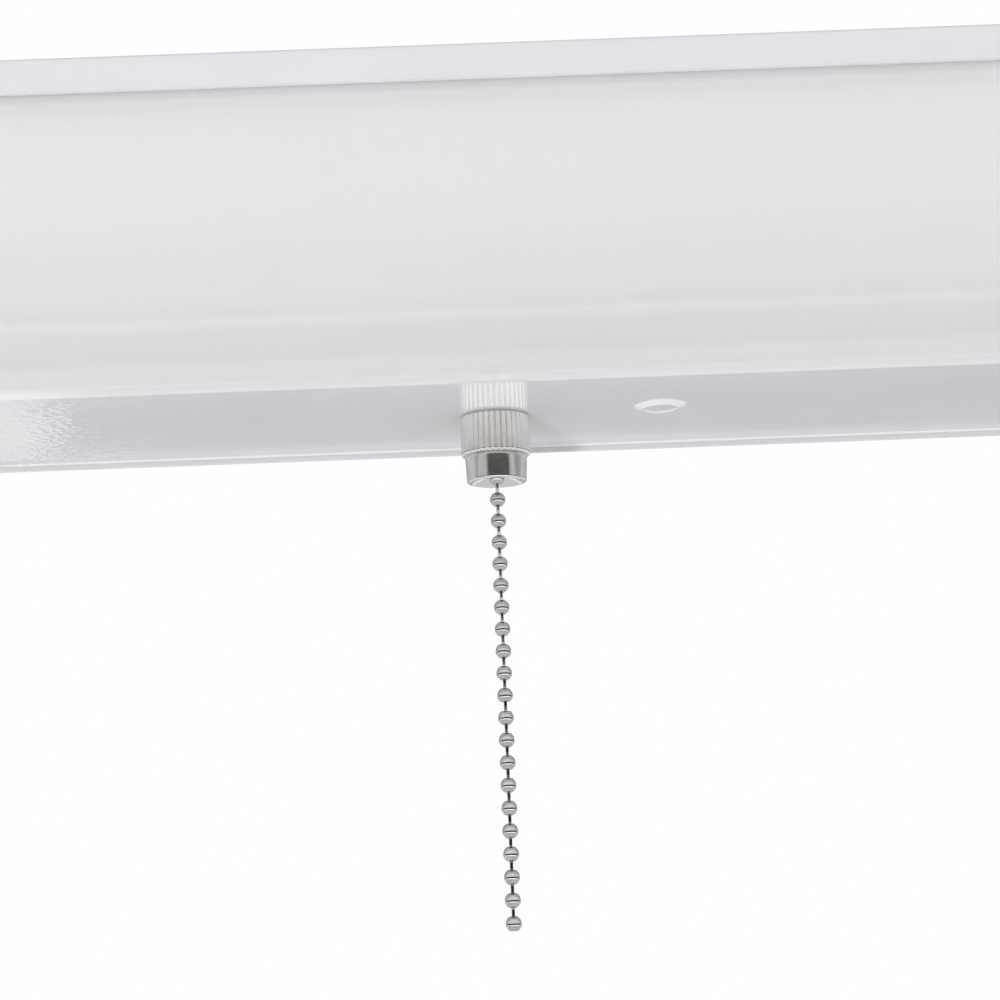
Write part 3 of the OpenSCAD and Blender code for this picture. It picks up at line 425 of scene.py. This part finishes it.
def make_piece(name, points, faces, slot, body, nodes, sharp_degrees=35, holes=(), finish=None):
    """A smooth mesh piece that stands for CAD nodes, with holes cut in it. It rides on a body when body is a
    name;
    otherwise it stays where it is made."""
    piece = make_mesh(name, points, faces)
    if holes:
        piece.data = cut(piece, make_mesh("holes", *join_parts(holes)))
    mesh = piece.data
    mesh.shade_smooth()
    mesh.set_sharp_from_angle(angle=math.radians(sharp_degrees))
    mesh.materials.clear()
    mesh.materials.append(materials[finish or slot])
    if isinstance(body, str):
        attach(piece, body)
    else:
        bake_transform(piece)
    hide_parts(*nodes)
    return piece


def arc(centre, radius, start, end, steps):
    """Points on an arc in the plane across the light, angles in degrees."""
    turns = [math.radians(start + (end - start) * i / steps) for i in range(steps + 1)]
    return [(centre[0] + radius * math.cos(t), centre[1] + radius * math.sin(t)) for t in turns]


def quads(rows, count, ringed=False):
    """Faces between rows of count points, each row closed on itself; ringed joins the last to the first."""
    faces = []
    for row in range(rows if ringed else rows - 1):
        here, after = row * count, (row + 1) % rows * count
        for i in range(count):
            j = (i + 1) % count
            faces.append((here + i, here + j, after + j, after + i))
    return faces


def capped(rows, count):
    """Faces between rows of count points, with the first and the last row filled."""
    last = (rows - 1) * count
    return quads(rows, count) + [tuple(range(count - 1, -1, -1)), tuple(range(last, last + count))]


def extrude_along(outline, x_places):
    """Points and faces of an outline in (Y, Z) carried through several places along X."""
    points = [(x, y, z) for x in x_places for y, z in outline]
    return points, capped(len(x_places), len(outline))


def round_hole(place, radius, axis, count=48):
    """A cutter: a round bar through a place, along an axis."""
    turns = [2 * math.pi * i / count for i in range(count)]
    across = [(radius * math.cos(t), radius * math.sin(t)) for t in turns]
    return bar(place, across, axis)


def slot_hole(place, length, width, count=24):
    """A cutter: an upright bar with round ends, long along X."""
    reach = (length - width) / 2
    right = arc((reach, 0), width / 2, -90, 90, count)
    left = arc((-reach, 0), width / 2, 90, 270, count)
    return bar(place, right + left, ALONG_Z)


def bar(place, across, axis):
    """Points and faces of an outline carried both ways from a place, along an axis."""
    points = []
    for reach in (-CUT_REACH, CUT_REACH):
        for u, v in across:
            shift = (u, reach, v) if axis == ALONG_Y else (u, v, reach)
            points.append(tuple(place[i] + shift[i] for i in range(3)))
    return points, capped(2, len(across))


# Sizes of the visible pieces, in millimetres, as in the part's source
FRONT_Y = -44
BACK_Y = 44
COVER_Z = -56.8
SWITCH_Y = 12.8
BAND_H = 7.8
SHEET_T = 0.8
HOUSING_HALF = 235.5


# Housing: ceiling plate, front band and back wall folded from one sheet
FOLD_R = 3
LIP_Z = COVER_Z - 1.6
EDGE_R = 0.3
SLOT_X = 190
SLOT_PLACE_Y = SWITCH_Y + 7.2
SLOT_SIZE = (14, 5.2)
ENTRY_X = 48
ENTRY_R = 11.1
CAP_SCREW_X = HOUSING_HALF - 6
CAP_SCREW_Z = (-16, -42)
SCREW_HOLE_R = 1.8


def sheet_edge(y, z):
    """The rounded lower edge of an upright sheet whose middle is at y, from smaller to larger y."""
    half = SHEET_T / 2
    return (arc((y - half + EDGE_R, z + EDGE_R), EDGE_R, 180, 270, 6)
            + arc((y + half - EDGE_R, z + EDGE_R), EDGE_R, 270, 360, 6))


def housing_outline():
    inner_r = FOLD_R - SHEET_T
    front = sheet_edge(FRONT_Y + SHEET_T / 2, -BAND_H)
    back = sheet_edge(BACK_Y - SHEET_T / 2, LIP_Z)
    return (front
            + arc((FRONT_Y + FOLD_R, -FOLD_R), inner_r, 180, 90, 14)
            + arc((BACK_Y - FOLD_R, -FOLD_R), inner_r, 90, 0, 14)
            + back
            + arc((BACK_Y - FOLD_R, -FOLD_R), FOLD_R, 0, 90, 20)
            + arc((FRONT_Y + FOLD_R, -FOLD_R), FOLD_R, 90, 180, 20))


def make_housing():
    points, faces = extrude_along(housing_outline(), [-HOUSING_HALF, 0, HOUSING_HALF])
    holes = [slot_hole((side * SLOT_X, SLOT_PLACE_Y, 0), *SLOT_SIZE) for side in (-1, 1)]
    holes.append(round_hole((ENTRY_X, SLOT_PLACE_Y, 0), ENTRY_R, ALONG_Z, 96))
    holes += [round_hole((side * CAP_SCREW_X, BACK_Y, z), SCREW_HOLE_R, ALONG_Y)
              for side in (-1, 1) for z in CAP_SCREW_Z]
    make_piece("folded_housing", points, faces, "enamel", "fixture", ["housing"], 30, holes)


# Bottom cover: a shallow tray, its back edge hemmed where it meets the back wall's lip
COVER_FRONT_Y = FRONT_Y + 17
COVER_BACK_Y = BACK_Y - SHEET_T - 0.2
COVER_HALF = HOUSING_HALF - 0.3
COVER_FOLD_R = 1.4
FRONT_RETURN = 6
BACK_FLANGE = 9
HEM_R = 0.22
BUSHING_HOLE_R = 4.85
STUD_PLACE = (34.4, SWITCH_Y - 4.4)
STUD_R = 2.08
STUD_HOLE_R = STUD_R + 0.02
COVER_SCREW_X = 205
CLIP_X = 190
CLIP_RIVET_Y = COVER_FRONT_Y + 10.9
RIVET_HOLE_R = 1.55


def cover_outline():
    inner_r = COVER_FOLD_R - SHEET_T
    fold_z = COVER_Z + COVER_FOLD_R
    front = COVER_FRONT_Y + COVER_FOLD_R
    back = COVER_BACK_Y - COVER_FOLD_R
    hem_y = COVER_BACK_Y - 2 * HEM_R
    return ([(COVER_FRONT_Y + SHEET_T, COVER_Z + FRONT_RETURN), (COVER_FRONT_Y, COVER_Z + FRONT_RETURN)]
            + arc((front, fold_z), COVER_FOLD_R, 180, 270, 12)
            + arc((hem_y - HEM_R, COVER_Z - HEM_R), HEM_R, 90, 0, 6)
            + arc((COVER_BACK_Y - HEM_R, COVER_Z - HEM_R), HEM_R, 180, 360, 12)
            + [(COVER_BACK_Y, COVER_Z + BACK_FLANGE), (COVER_BACK_Y - SHEET_T, COVER_Z + BACK_FLANGE)]
            + arc((back, fold_z), inner_r, 0, -90, 8)
            + arc((front, fold_z), inner_r, 270, 180, 8))


def make_cover():
    points, faces = extrude_along(cover_outline(), [-COVER_HALF, 0, COVER_HALF])
    holes = [round_hole((0, SWITCH_Y, COVER_Z), BUSHING_HOLE_R, ALONG_Z),
             round_hole((*STUD_PLACE, COVER_Z), STUD_HOLE_R, ALONG_Z)]
    for side in (-1, 1):
        holes.append(round_hole((side * COVER_SCREW_X, STUD_PLACE[1], COVER_Z), SCREW_HOLE_R, ALONG_Z))
        holes.append(round_hole((side * CLIP_X, CLIP_RIVET_Y, COVER_Z), RIVET_HOLE_R, ALONG_Z))
    piece = make_piece("bottom_cover_tray", points, faces, "enamel", "fixture", ["bottom_cover"], 30, holes)
    # The hem under the cover's back edge takes the lighter enamel: a painted highlight line
    piece.data.materials.append(materials["highlight_enamel"])
    hem_top, middle = (COVER_Z - 0.02) * MM, BACK_Y * MM / 2
    for face in piece.data.polygons:
        face.material_index = int(face.center.z < hem_top and face.center.y > middle)


# Bonding stud: a flat cone pressed into the cover, its shank up inside; its slopes and rim are painted
# lighter than the cover, a painted highlight, and the dish's floor has the cover's tone
STUD_BASE_R = 5.5
STUD_FACE_R = 3.7
STUD_HEAD_H = 0.7
STUD_EDGE_R = 0.5
STUD_DISH = 0.2
STUD_RIM = (0.45, 0.2)
STUD_LENGTH = 11
STUD_CHAMFER = 0.4
FLAT_DOWN = -0.99


def make_bonding_stud():
    slope = math.degrees(math.atan2(STUD_HEAD_H, STUD_BASE_R - STUD_FACE_R))
    face_edge = STUD_FACE_R - STUD_EDGE_R * math.tan(math.radians(slope / 2))
    profile = [(0, STUD_DISH - STUD_HEAD_H), (face_edge - STUD_RIM[0], STUD_DISH - STUD_HEAD_H),
               (face_edge - STUD_RIM[1], -STUD_HEAD_H)]
    profile += arc((face_edge, STUD_EDGE_R - STUD_HEAD_H), STUD_EDGE_R, -90, slope - 90, 5)
    profile += [(STUD_BASE_R, 0), (STUD_R, 0), (STUD_R, STUD_LENGTH - STUD_CHAMFER),
                (STUD_R - STUD_CHAMFER, STUD_LENGTH), (0, STUD_LENGTH)]
    points, faces = revolve(profile, COVER_Z, 96, STUD_PLACE)
    piece = make_piece("bonding_stud_cone", points, faces, "enamel", "fixture", ["bonding_stud"], 30,
                       finish="highlight_enamel")
    piece.data.materials.append(materials["enamel"])
    # Painted highlight: all but the flat, downward dish floor keep the lighter enamel
    for face in piece.data.polygons:
        face.material_index = int(face.normal.z < FLAT_DOWN)


# Opal lens
LENS_T = 1.8
LENS_Z = COVER_Z - 0.2 - LENS_T
LENS_END_Y = -23
LENS_LENGTH = 470
BOW_R = 150
BOW_CENTRE = (FRONT_Y + 1.6 + BOW_R, -24)
CORNER_R = 12
CORNER_Z = LENS_Z + CORNER_R
RUN = math.sqrt((BOW_R - CORNER_R) ** 2 - (BOW_CENTRE[1] - CORNER_Z) ** 2)
CORNER_CENTRE = (BOW_CENTRE[0] - RUN, CORNER_Z)
LENS_TOP = -BAND_H - 0.5
BEAD_CENTRE = (FRONT_Y + 5.8, -BAND_H + 3.1)
LENS_BEAD_R = 2
LENS_LIP_R = 0.5
OVERLAP_DEG = 0.2


def bow_top(radius):
    """Where a bow of this radius reaches the sheet's top, in degrees."""
    return 180 - math.degrees(math.asin((LENS_TOP - BOW_CENTRE[1]) / radius))


def lens_outline():
    bow_end = 180 + math.degrees(math.asin((BOW_CENTRE[1] - CORNER_Z) / (BOW_R - CORNER_R)))
    inner = BOW_R - LENS_T
    bow_start = bow_end - OVERLAP_DEG
    lip_y = LENS_END_Y - LENS_LIP_R
    lip = arc((lip_y, LENS_Z + LENS_LIP_R), LENS_LIP_R, 0, -90, 6)
    inner_lip = arc((lip_y, LENS_Z + LENS_T - LENS_LIP_R), LENS_LIP_R, 90, 0, 6)
    return (lip + arc(CORNER_CENTRE, CORNER_R, 270, bow_end, 48)
            + arc(BOW_CENTRE, BOW_R, bow_start, bow_top(BOW_R), 60)
            + arc(BEAD_CENTRE, LENS_BEAD_R, 190, -85, 40)
            + arc(BOW_CENTRE, inner, bow_top(inner), bow_start, 60)
            + arc(CORNER_CENTRE, CORNER_R - LENS_T, bow_end, 270, 48) + inner_lip)


def make_lens():
    points, faces = extrude_along(lens_outline(), [-LENS_LENGTH / 2, 0, LENS_LENGTH / 2])
    make_piece("opal_lens", points, faces, "opal", "lens", ["lens"])


# Nickel nut
KNURL_R = 7.3
KNURL_BOTTOM = COVER_Z - 8.5
RIBS = 36
RIB_DEPTH = 0.45
RIB_STEPS = 14
SKIRT_R = 6.45
MOUTH_R = 6.2
NUT_BOTTOM = KNURL_BOTTOM - 5.6
THROAT_R = 2.2
THROAT_Z = NUT_BOTTOM + 1.6
THREAD_R = 4.8
THREAD_END = NUT_BOTTOM + 3.0
ROOT_NARROWING = 2.2

# The nut's profile: radius, height above the cover, the knurl's foot or the nut's foot, and how much of the
# knurl shows there
NUT_TOP = [(THREAD_R, 0, 0), (6.75, 0, 0), (7.0, -0.06, 0.3), (7.22, -0.22, 0.9), (KNURL_R, -0.4, 1),
           (KNURL_R, -0.55, 1)]
KNURL_FOOT = [(KNURL_R, 0.65, 1), (KNURL_R, 0.5, 1), (7.2, 0.26, 0.95), (6.98, 0.08, 0.5), (6.75, 0, 0),
              (6.15, 0, 0), (6.1, -0.05, 0), (6.1, -0.2, 0), (6.2, -0.28, 0), (SKIRT_R, -0.42, 0),
              (SKIRT_R, -0.6, 0)]
NUT_RIM = [(MOUTH_R + 0.02, 0.4, 0), (6.18, 0.18, 0), (6.08, 0.05, 0), (5.95, 0, 0), (5.6, 0, 0),
           (5.4, 0.05, 0)]

# Rows close to the skirt's ends, so that its wall is shaded straight
SKIRT_ROW = 0.15

# The hollow of the mouth, between the rim and the throat
HOLLOW_END_R = THROAT_R + 0.25
HOLLOW_H = 1.3
HOLLOW_CURVE = 0.75
HOLLOW_ROWS = (0.15, 0.3, 0.45, 0.6, 0.75, 0.9, 1.0)


def rib_depth(step):
    """How deep a point of the straight knurl lies below its crest: a rounded crest and a narrow root."""
    from_crest = abs(2 * (step % RIB_STEPS) / RIB_STEPS - 1)
    return RIB_DEPTH * from_crest ** ROOT_NARROWING


def ring(radius, z, share, count):
    """One ring of the nut; share is how much of the knurl shows there."""
    ring_points = []
    for i in range(count):
        turn, reach = 2 * math.pi * i / count, radius - share * rib_depth(i)
        ring_points.append((reach * math.sin(turn), SWITCH_Y - reach * math.cos(turn), z))
    return ring_points


def nut_levels():
    """Radius, height and share of the knurl of each row, down the outside and up through the mouth."""
    levels = [(r, base + z, share) for base, rows in ((COVER_Z, NUT_TOP), (KNURL_BOTTOM, KNURL_FOOT))
              for r, z, share in rows]
    (top_r, top_z, _), (foot_r, foot_z, _) = KNURL_FOOT[-1], NUT_RIM[0]
    top_z, foot_z = KNURL_BOTTOM + top_z, NUT_BOTTOM + foot_z
    lean = (top_r - foot_r) / (top_z - foot_z) * SKIRT_ROW
    levels += [(top_r - lean, top_z - SKIRT_ROW, 0), (foot_r + lean, foot_z + SKIRT_ROW, 0)]
    levels += [(r, NUT_BOTTOM + z, share) for r, z, share in NUT_RIM]
    start_r, start_z, _ = levels[-1]
    levels += [(start_r + (HOLLOW_END_R - start_r) * t, start_z + HOLLOW_H * t ** HOLLOW_CURVE, 0)
               for t in HOLLOW_ROWS]
    return levels + [(THROAT_R, THROAT_Z, 0), (THROAT_R, THREAD_END, 0), (THREAD_R, THREAD_END, 0)]


def make_nut():
    count = RIBS * RIB_STEPS
    levels = nut_levels()
    points = [point for level in levels for point in ring(*level, count)]
    faces = quads(len(levels), count, ringed=True)
    # The nut takes the lighter copy of the nickel: painted highlight
    make_piece("knurled_nickel_nut", points, faces, "nickel", "fixture", ["knurled_nut"], 40,
               finish="lightened_nut_nickel")


# Return spring: a coil between its foot on the bushing and its head at the stem's collar
SPRING_R = 3.3
SPRING_WIRE_R = 0.3
SPRING_TURNS = 5
SPRING_STEPS = 32
SPRING_SIDES = 12


def make_return_spring():
    low, high = (tuple(v / MM for v in corner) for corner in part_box("return_spring"))
    foot, head = low[2] + SPRING_WIRE_R, high[2] - SPRING_WIRE_R
    steps = SPRING_TURNS * SPRING_STEPS
    points = []
    for i in range(steps + 1):
        turn = 2 * math.pi * i / SPRING_STEPS
        height = foot + (head - foot) * i / steps
        for j in range(SPRING_SIDES):
            side = 2 * math.pi * j / SPRING_SIDES
            reach = SPRING_R + SPRING_WIRE_R * math.cos(side)
            points.append((reach * math.cos(turn), SWITCH_Y + reach * math.sin(turn),
                           height + SPRING_WIRE_R * math.sin(side)))
    bend = ("fixture", "pull", (0, SWITCH_Y * MM, foot * MM), (0, SWITCH_Y * MM, head * MM))
    make_piece("return_spring_coil", points, capped(steps + 1, SPRING_SIDES), "spring_steel", bend,
               ["return_spring"], 50)


# Ball chain
BEAD_R = 1.6
BEAD_WALL = 0.3
BEAD_PITCH = 4.5
LINK_R = 0.35
HEAD_R = 1.05
MOUTH_BEAD_Z = NUT_BOTTOM + 0.9
INNER_BEADS = 4
HANGING_BEADS = 20
SNUG_HOLE_R = 0.6
LOOSE_HOLE_R = 0.85
TURNED_IN_DEG = 2
INNER_TURNED_IN_DEG = 5
HEAD_SPAN_DEG = (17, 68)
HEAD_FLAT = 0.31
WAIST_TOP = 1.2


def revolve(profile, centre_z, count, centre=(0, SWITCH_Y)):
    """Points and faces of a profile of (radius, z) turned about an upright line. It closes on the line or on
    itself."""
    turns = [2 * math.pi * i / count for i in range(count)]
    points = [(centre[0] + r * math.sin(t), centre[1] - r * math.cos(t), centre_z + z)
              for r, z in profile for t in turns]
    on_line = profile[0][0] == 0 and profile[-1][0] == 0
    return points, quads(len(profile), count, ringed=not on_line)


def bead_profile(top_hole, bottom_hole):
    """A hollow ball rolled from strip, open above and below, its edges turned a little inward."""
    start = 90 - math.degrees(math.asin(top_hole / BEAD_R))
    end = -90 + math.degrees(math.asin(bottom_hole / BEAD_R))
    outside = arc((0, 0), BEAD_R, start - TURNED_IN_DEG, end + TURNED_IN_DEG, 28)
    inside = arc((0, 0), BEAD_R - BEAD_WALL, end + INNER_TURNED_IN_DEG, start - INNER_TURNED_IN_DEG, 16)
    return outside + inside


def link_profile():
    """Half of a link's outline: a thin waist between two half-round heads that the beads hold."""
    near, far = HEAD_SPAN_DEG
    top = arc((0, 0), HEAD_R, -near, -far, 8)
    bottom = arc((0, -BEAD_PITCH), HEAD_R, far, near, 8)
    waist = [(LINK_R, -WAIST_TOP), (LINK_R, WAIST_TOP - BEAD_PITCH)]
    return [(0, -HEAD_FLAT)] + top + waist + bottom + [(0, HEAD_FLAT - BEAD_PITCH)]


def join_parts(parts):
    """Several sets of points and faces as one."""
    points, faces = [], []
    for part_points, part_faces in parts:
        faces += [tuple(len(points) + i for i in face) for face in part_faces]
        points += part_points
    return points, faces


def make_beads(name, body, node, first_z, count, loose_ends):
    """A run of beads; loose_ends says whether the first hole and the last hole let a link swing."""
    parts = []
    for i in range(count):
        top = LOOSE_HOLE_R if i == 0 and loose_ends[0] else SNUG_HOLE_R
        bottom = LOOSE_HOLE_R if i == count - 1 and loose_ends[1] else SNUG_HOLE_R
        parts.append(revolve(bead_profile(top, bottom), first_z - i * BEAD_PITCH, 40))
    points, faces = join_parts(parts)
    make_piece(name, points, faces, "nickel", body, [node], 50)


def make_links(name, body, node, first_z, count):
    """A run of links, each hanging from the bead at its top."""
    points, faces = join_parts([revolve(link_profile(), first_z - i * BEAD_PITCH, 24) for i in range(count)])
    make_piece(name, points, faces, "nickel", body, [node], 50)


def make_chain():
    half = HANGING_BEADS // 2
    first = MOUTH_BEAD_Z - BEAD_PITCH
    lower = first - half * BEAD_PITCH
    inner_top = MOUTH_BEAD_Z + (INNER_BEADS - 1) * BEAD_PITCH
    make_beads("ball_chain_beads_inner", "pull", "inner_beads", inner_top, INNER_BEADS, (False, True))
    make_beads("ball_chain_beads_upper", "upper_chain", "upper_beads", first, half, (True, True))
    make_beads("ball_chain_beads_lower", "lower_chain", "lower_beads", lower, half, (True, True))
    make_links("ball_chain_links_inner", "pull", "inner_links", inner_top + BEAD_PITCH, INNER_BEADS)
    make_links("ball_chain_link_top", "upper_link", "upper_link", MOUTH_BEAD_Z, 1)
    make_links("ball_chain_links_upper", "upper_chain", "upper_links", first, half - 1)
    make_links("ball_chain_link_middle", "lower_link", "lower_link", first - (half - 1) * BEAD_PITCH, 1)
    make_links("ball_chain_links_lower", "lower_chain", "lower_links", lower, half - 1)


# Floor and light
FLOOR_Z = -1.6
FLOOR_R = 3.0
FLOOR_SIDES = 96


def make_floor():
    turns = [2 * math.pi * i / FLOOR_SIDES for i in range(FLOOR_SIDES)]
    mesh = bpy.data.meshes.new("floor")
    mesh.from_pydata([(FLOOR_R * math.cos(t), FLOOR_R * math.sin(t), FLOOR_Z) for t in turns], [],
                     [tuple(range(FLOOR_SIDES))])
    material, tree, shader, place = start_material("pale_studio_floor", {"Roughness": 0.8})
    tint(tree, shader, place, 300, "#ECECEC", "#F0F0F0")
    mesh.materials.append(material)
    floor = bpy.data.objects.new("floor", mesh)
    bpy.context.scene.collection.objects.link(floor)


def cone(outer, inner):
    """The cosines where a cone about an aim ends and where it is whole, from two angles in degrees."""
    return math.cos(math.radians(outer)), math.cos(math.radians(inner))


# Light of the studio as the object meets it, by direction. The walls are grey behind the object and paler
# beside and in front of it. They are brighter low down and dimmer about level. A bright strip lies low in
# front. A dark gap lies about the camera, and a wider one just below level. Bands are heights of a direction
# of length 1: where each starts, is whole, begins to end, and ends.
BACK_LIGHT = 0.41
SIDE_LIGHT = 1.03
SIDE_TO_BACK = (-0.1, 0.6)
LOW_LIGHT = 1.12
LOW_TO_SIDE = (-0.36, -0.28)
LEVEL_LIGHT = 0.57
FRONT_LIGHT = 2.1
FRONT_BAND = (-0.35, -0.31, -0.22, -0.19)
FRONT_CONE = cone(62, 42)
DARK_LIGHT = 0.03
DARK_AIM = (math.sin(math.radians(8)), -math.cos(math.radians(8)), 0)
DARK_BAND = (-0.21, -0.17, 0.12, 0.22)
DARK_CONE = cone(52, 34)
WIDE_BAND = (-0.21, -0.17, 0, 0.06)
WIDE_CONE = cone(110, 80)
WALL_TINT = (0.985, 0.985, 1.0, 1)


def make_world():
    world = bpy.data.worlds.new("studio")
    bpy.context.scene.world = world
    world.use_nodes = True
    tree = world.node_tree
    tree.nodes.clear()
    aim = add(tree, "ShaderNodeTexCoord").outputs["Generated"]
    parts = add(tree, "ShaderNodeSeparateXYZ", links={"Vector": aim})
    depth, height = parts.outputs["Y"], parts.outputs["Z"]
    turned = add(tree, "ShaderNodeVectorMath", {"operation": "DOT_PRODUCT"}, links={0: aim})
    turned.inputs[1].default_value = DARK_AIM
    facing = turned.outputs["Value"]
    light = fade(tree, depth, *SIDE_TO_BACK, SIDE_LIGHT, BACK_LIGHT)
    light = fade(tree, height, *LOW_TO_SIDE, LOW_LIGHT, light)
    light = fade(tree, window(tree, height, DARK_BAND, 1), 0, 1, light, LEVEL_LIGHT)
    for band, edges, level in ((FRONT_BAND, FRONT_CONE, FRONT_LIGHT), (WIDE_BAND, WIDE_CONE, DARK_LIGHT),
                               (DARK_BAND, DARK_CONE, DARK_LIGHT)):
        share = window(tree, height, band, fade(tree, facing, *edges, 0, 1))
        light = fade(tree, share, 0, 1, light, level)
    soft = add(tree, "ShaderNodeBackground", values={"Color": WALL_TINT}, links={"Strength": light})
    white = add(tree, "ShaderNodeBackground", values={"Color": (1, 1, 1, 1), "Strength": 1.0})
    seen = add(tree, "ShaderNodeLightPath").outputs["Is Camera Ray"]
    both = add(tree, "ShaderNodeMixShader", links={"Fac": seen})
    tree.links.new(soft.outputs["Background"], both.inputs[1])
    tree.links.new(white.outputs["Background"], both.inputs[2])
    add(tree, "ShaderNodeOutputWorld", links={"Surface": both.outputs["Shader"]})


def make_light(name, place, target, size, power, lean=0):
    """A soft rectangular light, not seen itself; lean turns it about its own aim, in degrees."""
    data = bpy.data.lights.new(name, "AREA")
    data.shape = "RECTANGLE"
    data.size, data.size_y = size
    data.energy = power
    light = bpy.data.objects.new(name, data)
    light.location = place
    light.rotation_mode = "QUATERNION"
    aim = (Vector(target) - Vector(place)).to_track_quat("-Z", "Y")
    light.rotation_quaternion = aim @ Quaternion((0, 0, 1), math.radians(lean))
    light.visible_camera = False
    bpy.context.scene.collection.objects.link(light)
    return light


# A softbox low on the left, kept out of mirror images, and a small glow on the backdrop
SOFTBOX_PLACE = (-0.67, -1.61, -0.74)
SOFTBOX_TARGET = (0, 0, -0.06)
SOFTBOX_SIZE = (0.14, 0.14)
SOFTBOX_W = 8
GLOW_PLACE = (-0.91, 2.5, -0.66)
GLOW_TARGET = (-0.094, 0.01, -0.057)
GLOW_SIZE = (0.17, 0.5)
GLOW_W = 0.16
GLOW_LEAN = 15.5


def make_lights():
    softbox = make_light("low_left_softbox", SOFTBOX_PLACE, SOFTBOX_TARGET, SOFTBOX_SIZE, SOFTBOX_W)
    softbox.visible_glossy = False
    make_light("backdrop_glow", GLOW_PLACE, GLOW_TARGET, GLOW_SIZE, GLOW_W, GLOW_LEAN)


make_camera()
materials = make_materials()
slot_of = {part["node"]: part["material_slot"] for part in frame["record"]["subparts"]}
for node_name, node_object in frame["nodes"].items():
    node_object.data.materials.clear()
    node_object.data.materials.append(materials[slot_of[node_name]])
make_housing()
make_cover()
make_bonding_stud()
make_lens()
make_nut()
make_return_spring()
make_chain()
make_floor()
make_world()
make_lights()

bpy.context.scene.view_settings.view_transform = "Standard"
